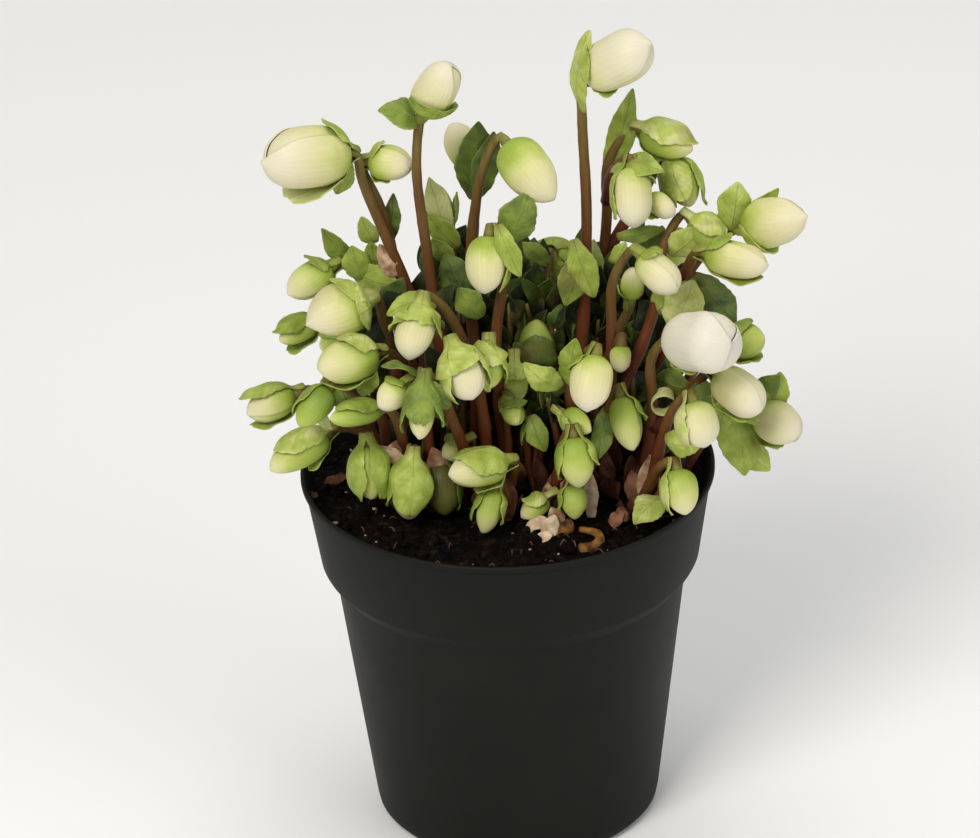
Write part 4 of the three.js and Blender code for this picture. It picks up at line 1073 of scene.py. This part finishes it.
def bud(mesh, item):
    start, length, axis, outward, over = axes_of(item, LIGHT)
    radius, tint = item["radius"], item["tint"]
    hand = 1 if noise.noise(start * 0.31) > 0 else -1
    spin = 1.5 * noise.noise(start * 0.13)
    step = 0.5 + 0.07 * radius
    slack = max(0.0, 0.1 + 0.7 * noise.noise(start * 0.5))
    fuller = FULLNESS * max(0.0, RIPE - tint)
    full_beak = radius > LARGE and tint > BLUNT
    beak = BEAK * (1 if full_beak else 0.5 * max(0.0, noise.noise(start * 0.7)))
    for middle, half, layer, reach in SEPALS:

        def place(across, up):
            along, girth, width = SEPAL[round(up * (len(SEPAL) - 1))]
            girth += fuller * between(SHOULDER, along)
            angle = spin + hand * (radians(middle) + across * radians(half) * width + TWIST * up)
            facing = outward * cos(angle) + over * sin(angle)
            dent = DENT * noise.noise((start + axis * along * length + facing * radius) * 0.15)
            curl = 0.6 + noise.noise(start + Vector((across, up * 5, middle)))
            curl *= max(0.0, abs(across) - 0.7)
            lift = step * layer * (1 - 0.8 * up ** 3) * (1 - 0.25 * across * across)
            ripple = RIPPLE * noise.noise((start + Vector((across * 3, up * 6, middle))) * 0.4)
            crease = CREASE * layer * exp(-((abs(across) - 0.3) * 4) ** 2) * (1 - up)
            away = (radius * 0.96 - 0.2) * girth * (1 + dent) + lift
            away += (ripple - crease + curl * layer) * girth
            away += slack * layer * up ** 5
            pointed = beak * max(0.0, layer - 0.65) / 0.35 * up ** 4 * (1 - 0.5 * abs(across))
            return start + axis * (along * length * reach + pointed) + facing * (away + 0.5 * pointed)

        column = FINE_COLUMN if layer > 0 and radius > SMALL else COARSE_COLUMN
        sheet(mesh, round(half / column), len(SEPAL) - 1, place, tint + 0.22 * (1 - layer))


# %% White buds
PETAL_THICKNESS = 0.38
white_count = 0
for number, item in enumerate(leafy_stems, 1):
    green = new_bmesh()
    for one in item["flowers"]:
        if one["tint"] > GREEN:
            bud(green, one)
            continue
        white_count += 1
        mesh = new_bmesh()
        bud(mesh, one)
        petals = new_piece(f"petals_{white_count:02d}", mesh, [petal], [f"bud_{white_count:02d}"])
        thicken(petals, PETAL_THICKNESS)
    if len(green.verts):
        thicken(new_piece(f"young_buds_{number:02d}", green, [petal],
                          [f"leafy_stem_{number:02d}"]), PETAL_THICKNESS)

mesh = new_bmesh()
for one in flowers_of(small_stems):
    bud(mesh, one)
thicken(new_piece("small_buds", mesh, [petal]), PETAL_THICKNESS)
print("white buds:", white_count)

# %% [markdown]
# ## Bracts
# A bract cups its bud on one side. Its foot clasps the stalk like a funnel, its edges are toothed,
# ragged and waved, and its tip stands off a little. A flat leaf could be bent round the bud with a
# modifier. Its points are placed about the bud's axis instead, so that it follows its own bud.

# %% A bract
BRACT_COLUMNS = 6
BRACT_ROWS = 16
BRACT_FOOT = 0.2
CLASP_START = 4.2
CLASP_RADIUS = 1.9
CLASP_HALF = radians(75)
BRACT_OUTLINE = [(0, 0.84), (0.2, 0.98), (0.4, 1.0), (0.6, 0.96), (0.78, 0.8), (0.9, 0.58), (1, 0.24)]
EDGE = 0.6                          # from here outwards a blade is uneven
UNEVEN_EDGE = 0.2
TOOTH = 0.07
RIB = 0.15


def ragged(across, up, rows, phase):
    """The width of a blade is uneven, and every other point of its edge stands out as a tooth."""
    if abs(across) < EDGE:
        return 1.0
    uneven = UNEVEN_EDGE * noise.noise(Vector((phase, up * 4, across * 3)))
    tooth = TOOTH * (1 if round(up * rows) % 2 else -1) * (abs(across) > 0.99)
    return 1 + uneven + tooth


def rib(across):
    """How deep the midrib lies in the blade."""
    return RIB * exp(-(across * 5) ** 2)


def bract(mesh, item, shape):
    side = Vector(shape["side"])
    start, length, axis, outward, over = axes_of(item, side)
    radius = item["radius"]
    spread = radians(shape["spread"])
    phase = 6 * noise.noise(start * 0.21 + side)

    def place(across, up):
        share = max(0.0, (up - BRACT_FOOT) / (1 - BRACT_FOOT))
        rising = min(1.0, up / BRACT_FOOT)
        along = shape["reach"] * length * share - 0.3 * (1 - share)
        along += 1.1 * noise.noise(Vector((across * 2.5, phase, 0.5))) * share ** 3
        hug = radius * max(between(EGG, max(along, 0) / length), 0.3)
        away = hug + 0.75 + 0.05 * radius + shape["flare"] * share ** 2
        away += (0.6 * sin(8 * share + phase + 2 * (across > 0)) + 0.3) * across ** 2 * min(1, share * 3)
        away -= rib(across)
        along -= (CLASP_START - 0.3) * (1 - rising)
        away = CLASP_RADIUS + (away - CLASP_RADIUS) * rising ** 1.6
        covered = spread * between(BRACT_OUTLINE, share)
        half = CLASP_HALF + (covered - CLASP_HALF) * rising
        turn = across * half * ragged(across, up, BRACT_ROWS, phase)
        spot = start + axis * along + (outward * cos(turn) + over * sin(turn)) * away
        return spot + outward * rising * (0.5 * noise.noise(spot * 0.3) + 0.3 * noise.noise(spot * 0.8))

    sheet(mesh, BRACT_COLUMNS, BRACT_ROWS, place, shape["tone_and_painted_shade"])


# %% [markdown]
# A leaf stands free of the bud. It arches from its foot to its tip, hangs down at both sides of its
# midrib, and is wavy along its edges. It is given by its two ends, because those are easier to set
# between the stalks than a length and turns.

# %% A leaf
LEAF_OUTLINE = [(0.25, 0.8), (0.5, 1.0), (0.62, 0.92), (0.75, 0.74), (0.88, 0.45), (1, 0.06)]
LEAF_FOOT = 1.3
DROOP = 0.2


def blade(mesh, shape, rows=BRACT_ROWS, columns=BRACT_COLUMNS, waves=1.0):
    start, end, half = Vector(shape["start"]), Vector(shape["end"]), shape["half_width"]
    along = (end - start).normalized()
    facing = Vector(shape["facing"])
    normal = (facing - along * facing.dot(along)).normalized()
    over = normal.cross(along)
    middle = start.lerp(end, 0.5) + normal * 2 * shape["arch"]
    outline = [(0, LEAF_FOOT / half), *LEAF_OUTLINE]
    phase = 6 * noise.noise(start * 0.17)

    def place(across, up):
        spine = start.lerp(middle, up).lerp(middle.lerp(end, up), up)
        width = half * between(outline, up)
        wave = waves * (0.45 * sin(8 * up + phase + 2.2 * (across > 0)) + 0.3) * across ** 2
        drop = DROOP * width * abs(across) ** 1.3 - wave * min(1.0, 4 * up) - rib(across)
        spot = spine + over * across * width * ragged(across, up, rows, phase) - normal * drop
        return spot + normal * waves * (0.7 * noise.noise(spot * 0.22) + 0.3 * noise.noise(spot * 0.7))

    sheet(mesh, columns, rows, place, shape["tone_and_painted_shade"])


# %% Bracts and leaves
BRACT_THICKNESS = 0.45


def foliage(name, flowers, leaves, replaced=()):
    mesh = new_bmesh()
    for one in flowers:
        for shape in one["bracts"]:
            bract(mesh, one, shape)
    for shape in leaves:
        blade(mesh, shape)
    thicken(new_piece(name, mesh, [bract_leaf], replaced), BRACT_THICKNESS)


for number, item in enumerate(leafy_stems, 1):
    foliage(f"bracts_{number:02d}", item["flowers"], item["leaves"], [f"leafy_stem_{number:02d}"])
foliage("small_leaves", flowers_of(small_stems), small_leaves)
print("bracts:", sum(len(one["bracts"]) for one in flowers_of(leafy_stems)),
      "leaves:", sum(len(item["leaves"]) for item in leafy_stems))

# %% [markdown]
# ## The crown
# Low in the plant stand many shoots that will flower later: thin stalks, each with small dark
# leaves folded round its tip. The leaves' dark colour is painted shade, for the deep shadow inside
# the crown. The shoots are so many that the peat hardly shows between them. Setting each by hand
# would add nothing that the eye can follow, so a seeded draw, the same on every run, gives each its
# place and height. Those at the back stand taller, and more are listed one by one where the plant
# is dense.

# %% Shoots in the crown
CROWN_EDGE = 47
SHOOT_SIDES = 7
SHOOT_SPACING = 5
LOW_SHOOTS = 64
TALL_SHOOTS = 30
draw = random.Random(5)
stubs = new_bmesh()
folded = new_bmesh()


def small_blade(mesh, shape):
    """A blade of few faces."""
    blade(mesh, shape, rows=6, columns=4)


def foot_at(x, y):
    return Vector((x, y, soil_top(x, y) - 1))


def stub(foot, bent, top, girth, finish=0):
    tube(stubs, smooth_path([foot, bent, top], SHOOT_SPACING), girth, SHOOT_SIDES, finish)


def shoot(x, y, height, leaves, turned=1.2):
    inward = min(1.0, CROWN_EDGE / hypot(x, y))
    foot = foot_at(x * inward, y * inward)
    top = foot + Vector((draw.uniform(-4, 4), draw.uniform(-4, 3), height))
    bent = foot.lerp(top, 0.5) + Vector((draw.uniform(-2.5, 2.5), draw.uniform(-2, 2), 0))
    width = draw.uniform(0.7, 1.5)
    stub(foot, bent, top, lambda share, place: width * (1.15 - 0.4 * share), draw.choice((0, 1)))
    for side in range(leaves):
        start = bent.lerp(top, draw.uniform(0.3, 0.95))
        end = start + Vector((draw.uniform(-7, 7), draw.uniform(-5, 1), draw.uniform(7, 13)))
        facing = (draw.uniform(-turned, turned), draw.uniform(-1.2, 0.4 * turned - 0.2), 0.2)
        # painted shade: shades of 0.7 to 1.25 colour these leaves dark for the shadow inside the crown
        small_blade(folded, leaf(start, end, draw.uniform(2.4, 4.4), facing, draw.uniform(0.8, 2.2),
                                 draw.uniform(0.7, 1.25)))


for index in range(LOW_SHOOTS):
    shoot(draw.uniform(-37, 50), draw.uniform(-9, 24), draw.uniform(14, 40), draw.choice((1, 2)))
new_piece("crown_shoots", stubs, [stalk_skin, dry_scale])
thicken(new_piece("folded_leaves", folded, [bract_leaf]), BRACT_THICKNESS)

stubs = new_bmesh()
folded = new_bmesh()
for index in range(TALL_SHOOTS):
    shoot(draw.uniform(-26, 50), draw.uniform(12, 34), draw.uniform(34, 58), draw.choice((2, 3)))
for x, y, height in [
        (2, 26, 54), (4, 30, 56), (-0.5, 22, 50), (7.5, 24, 57), (10, 30, 58), (13.5, 26, 58),
        (-16.5, 24, 66), (-13, 26, 67), (-9, 22, 64), (-15.5, 18, 62), (26, 28, 57), (28, 24, 61),
        (20, 30, 55), (41.5, 20, 55), (44, 14, 52), (50, 16, 50), (47, 22, 58), (36, 26, 58),
        (32, 18, 55), (-35, 8, 56), (-33.5, 8, 60), (-36, 5, 50), (-35.5, 2, 48), (50, -2, 34),
        (48, 2, 36), (-29.5, 14, 54), (-26, 16, 56), (-19, 12, 54)]:
    shoot(x, y, height, 3, turned=0.4)

# %% [markdown]
# Behind them stand a few older leaves, broad and dark, each on a stalk of its own. They face the
# front and close the gaps between the flower stalks. Their nearly black colour is painted shade, for
# the depth behind the stalks.

# %% Broad leaves behind
BROAD_HALF_WIDTH = 5
BROAD_REACH = Vector((0.5, -2, 15))
BROAD_FACING = (0.2, -1, 0.2)
# painted shade: the broad leaves are coloured nearly black for the shadow behind the stalks
BROAD_PAINTED_SHADE = 0.95
for x, y, height in [
        (-4, 27, 36), (-5, 24, 30), (0.5, 26, 23), (6, 26, 42), (16.5, 26, 40), (18.5, 26, 25),
        (32, 20, 53), (34, 24, 38), (-12, 26, 54), (5, 26, 56), (9, 26, 45)]:
    foot = foot_at(x, y)
    top = foot + Vector((0, 0, height))
    stub(foot, foot.lerp(top, 0.5) + Vector((0.8, 0.5, 0)), top, lambda share, place: 1.2 - 0.5 * share)
    small_blade(folded, leaf(top - Vector((0, 0, 1)), top + BROAD_REACH, BROAD_HALF_WIDTH, BROAD_FACING,
                             1.5, BROAD_PAINTED_SHADE))
new_piece("back_shoots", stubs, [stalk_skin, dry_scale])
thicken(new_piece("back_folded_leaves", folded, [bract_leaf]), BRACT_THICKNESS)

# %% [markdown]
# Papery scales stand round the feet of the stalks, and loose ones lie on the peat. They are the
# same kind of sheet as a leaf, in a dry finish. Those at the feet are drawn by a rule, because they
# are alike; those that can be told apart are listed.

# %% Scales round the feet
SCALE_THICKNESS = 0.35
SCALE_TONES = (0.05, 0.2, 0.35, 0.5, 0.7)
SCALES_A_FOOT = 6
draw = random.Random(12)
scales = new_bmesh()
for item in left_stems + right_stems + front_stems:
    x, y = item["root"]
    for index in range(SCALES_A_FOOT):
        turn = draw.uniform(0, 1.0) + index * 2 * pi / SCALES_A_FOOT
        outward = Vector((cos(turn), sin(turn), 0))
        start = Vector((x, y, soil_top(x, y) - 0.5)) + outward * draw.uniform(3.2, 5)
        end = start + outward * draw.uniform(0.5, 5) + Vector((0, 0, draw.uniform(5, 17)))
        small_blade(scales, leaf(start, end, draw.uniform(1.8, 3.4), outward, 1.2,
                                 draw.choice(SCALE_TONES)))
thicken(new_piece("crown_scales", scales, [dry_scale]), SCALE_THICKNESS)

# %% Sheaths among the stalks
sheaths = new_bmesh()
for shape in [
        leaf((-30.5, 8, 168.5), (-34.5, 10, 178.5), 2.8, FRONT, 1, 0.75),
        leaf((-1.5, -22, 103), (0, -21, 118), 3.4, FRONT, 1.5, 0.4),
        leaf((23.5, -22, 104), (23.5, -20, 118.5), 2.4, FRONT, 1, 0.9),
        leaf((39.5, -18, 104), (41, -16, 121), 3.6, FRONT, 1.5, 0.75),
        leaf((43.5, -20, 104), (46, -20, 115), 3.2, FRONT, 1.5, 0.5),
        leaf((37.5, -16, 104), (35.5, -15, 115.5), 3.4, FRONT, 1.5, 0.55),
        leaf((-34.5, -18, 119), (-31.5, -16, 128.5), 3, FRONT, 1.2, 0.7),
        leaf((-29.5, -20, 123.5), (-37, -19, 128.5), 2.6, FRONT, 1, 0.75),
        leaf((-18, -20, 117.5), (-21.5, -18, 127), 3.4, FRONT, 1.2, 0.6),
        leaf((18.5, -20, 105), (16.5, -18, 118), 2.8, FRONT, 1, 0.6),
        leaf((11.5, -18, 104), (12.5, -16, 115), 2.6, FRONT, 1, 0.5)]:
    blade(sheaths, shape, rows=10)
thicken(new_piece("sheaths", sheaths, [dry_scale]), SCALE_THICKNESS)

# %% Loose scales on the peat
loose = new_bmesh()
for shape in [
        leaf((-53, 4, 104), (-46, -1, 108), 2.2, (0.3, -0.6, 0.8), 1.0, 0.4),
        leaf((-58, -3, 103.5), (-55, -7, 106), 1.3, (0, -0.5, 1), 0.6, 0.5),
        leaf((10, -30, 102.5), (13, -28, 109), 3, FRONT, 1, 0.95),
        leaf((5, -28, 104), (11, -27, 107), 2.4, (0, -0.7, 1), 1.5, 0.9),
        leaf((15, -26, 104), (12, -25, 110), 2.6, FRONT, 1.2, 0.75),
        leaf((8, -32, 103), (12, -32.5, 105), 1.8, (0, -0.7, 1), 1, 1.0),
        leaf((14.5, -31, 102.5), (17.5, -29, 108), 2.6, FRONT, 1, 1.4),
        leaf((29, -26, 103.5), (33, -25, 107), 2.4, (0, -0.6, 1), 1, 0.6),
        leaf((12, -6, 106), (17, -12, 111), 3.6, (-0.2, -1, 0.3), 1.2, 0.4),
        leaf((20, -14, 105), (25, -18, 110), 3.4, (0, -1, 0.4), 1.4, 0.35),
        leaf((27, -10, 105), (32, -14, 111), 3.6, (0.1, -1, 0.4), 1.4, 0.25),
        leaf((34, -22, 104), (30, -26, 107), 2.8, (0.2, -0.6, 0.8), 1, 0.55),
        leaf((47, 0, 106), (51, -8, 110), 3.4, (0.2, -0.8, 0.6), 1.4, 0.35)]:
    blade(loose, shape, rows=8, waves=1.3)
thicken(new_piece("loose_scales", loose, [dry_scale]), SCALE_THICKNESS)

# %% [markdown]
# One withered scale on the peat has curled into a hook. High among the stalks hangs a pale bract
# that has rolled up into an open ring. The hook is a tapering tube. The ring is a sheet whose
# points go round a circle, because a leaf only arches and can't roll up.

# %% Rolled scales
AMBER = 1.4
CURL_SIDES = 10
CURL = [(20, -38.5, 103), (23.5, -39, 104), (25.5, -36.5, 104.5), (25, -33, 105), (20, -31, 105.5)]
curled = new_bmesh()
tube(curled, smooth_path([Vector(place) for place in CURL], 1.2), lambda share, place: 1.9 - share,
     CURL_SIDES)
for vert in curled.verts:
    vert[curled.verts.layers.float["tint"]] = AMBER
new_piece("curled_scale", curled, [dry_scale])

ROLL_CENTRE = Vector((45, -15, 137.5))
ROLL_RADIUS = 3.5
ROLL_HALF_WIDTH = 2.6
ROLL_START, ROLL_TURN = 0.4, 5.2
PALE = -0.1


def rolled(across, up):
    turn = ROLL_START + ROLL_TURN * up
    away = ROLL_RADIUS - 0.7 * up + 0.5 * noise.noise(Vector((across, up * 3, 2.0)))
    sideways = ROLL_HALF_WIDTH * across - 1.5 * up
    return ROLL_CENTRE + Vector((away * cos(turn), sideways, away * sin(turn)))


mesh = new_bmesh()
sheet(mesh, 4, 16, rolled, PALE)
thicken(new_piece("rolled_bract", mesh, [bract_leaf]), BRACT_THICKNESS)

# %% [markdown]
# Clods of peat, grains of perlite and bits of root lie on the bed. They are small lumps and short
# tubes of few faces, at places drawn over the whole bed. A particle system could scatter copies of
# one lump, but lumps this small cost little, and so each has its own shape.

# %% Clods, grains and roots
BED_EDGE = 56.5
ROOT_EDGE = 52
ROOTS = 90
ROOT_RADIUS = 0.22


def bed_place(draw, edge):
    turn, away = draw.uniform(0, 2 * pi), edge * sqrt(draw.random())
    x, y = away * cos(turn), away * sin(turn)
    return Vector((x, y, soil_top(x, y) + crumble(x, y)))


def lumps(name, count, smallest, largest, finish, seed, subdivisions):
    draw = random.Random(seed)
    mesh = new_bmesh()
    for index in range(count):
        size = smallest + (largest - smallest) * draw.random() ** 2
        centre = bed_place(draw, BED_EDGE - size) + Vector((0, 0, 0.15 * size))
        shape = Vector((draw.uniform(0.7, 1.2), draw.uniform(0.7, 1.2), draw.uniform(0.5, 0.9)))
        lumpy_ball(mesh, centre, shape * size, subdivisions, 0.5, 1.3, centre)
    new_piece(name, mesh, [finish])


lumps("peat_clods", 440, 0.7, 2.6, peat, seed=7, subdivisions=2)
lumps("perlite_grains", 90, 0.25, 0.9, perlite, seed=9, subdivisions=1)
draw = random.Random(21)
roots = new_bmesh()
for index in range(ROOTS):
    start = bed_place(draw, ROOT_EDGE)
    turn = draw.uniform(0, 2 * pi)
    reach = Vector((cos(turn), sin(turn), 0)) * draw.uniform(1.5, 4)
    path = [start, start + reach * 0.5 + Vector((0, 0, draw.uniform(0.5, 1.6))), start + reach]
    tube(roots, smooth_path(path, 1.2), lambda share, place: ROOT_RADIUS, sides=5)
new_piece("root_bits", roots, [fibre])
print("crown and bed done")
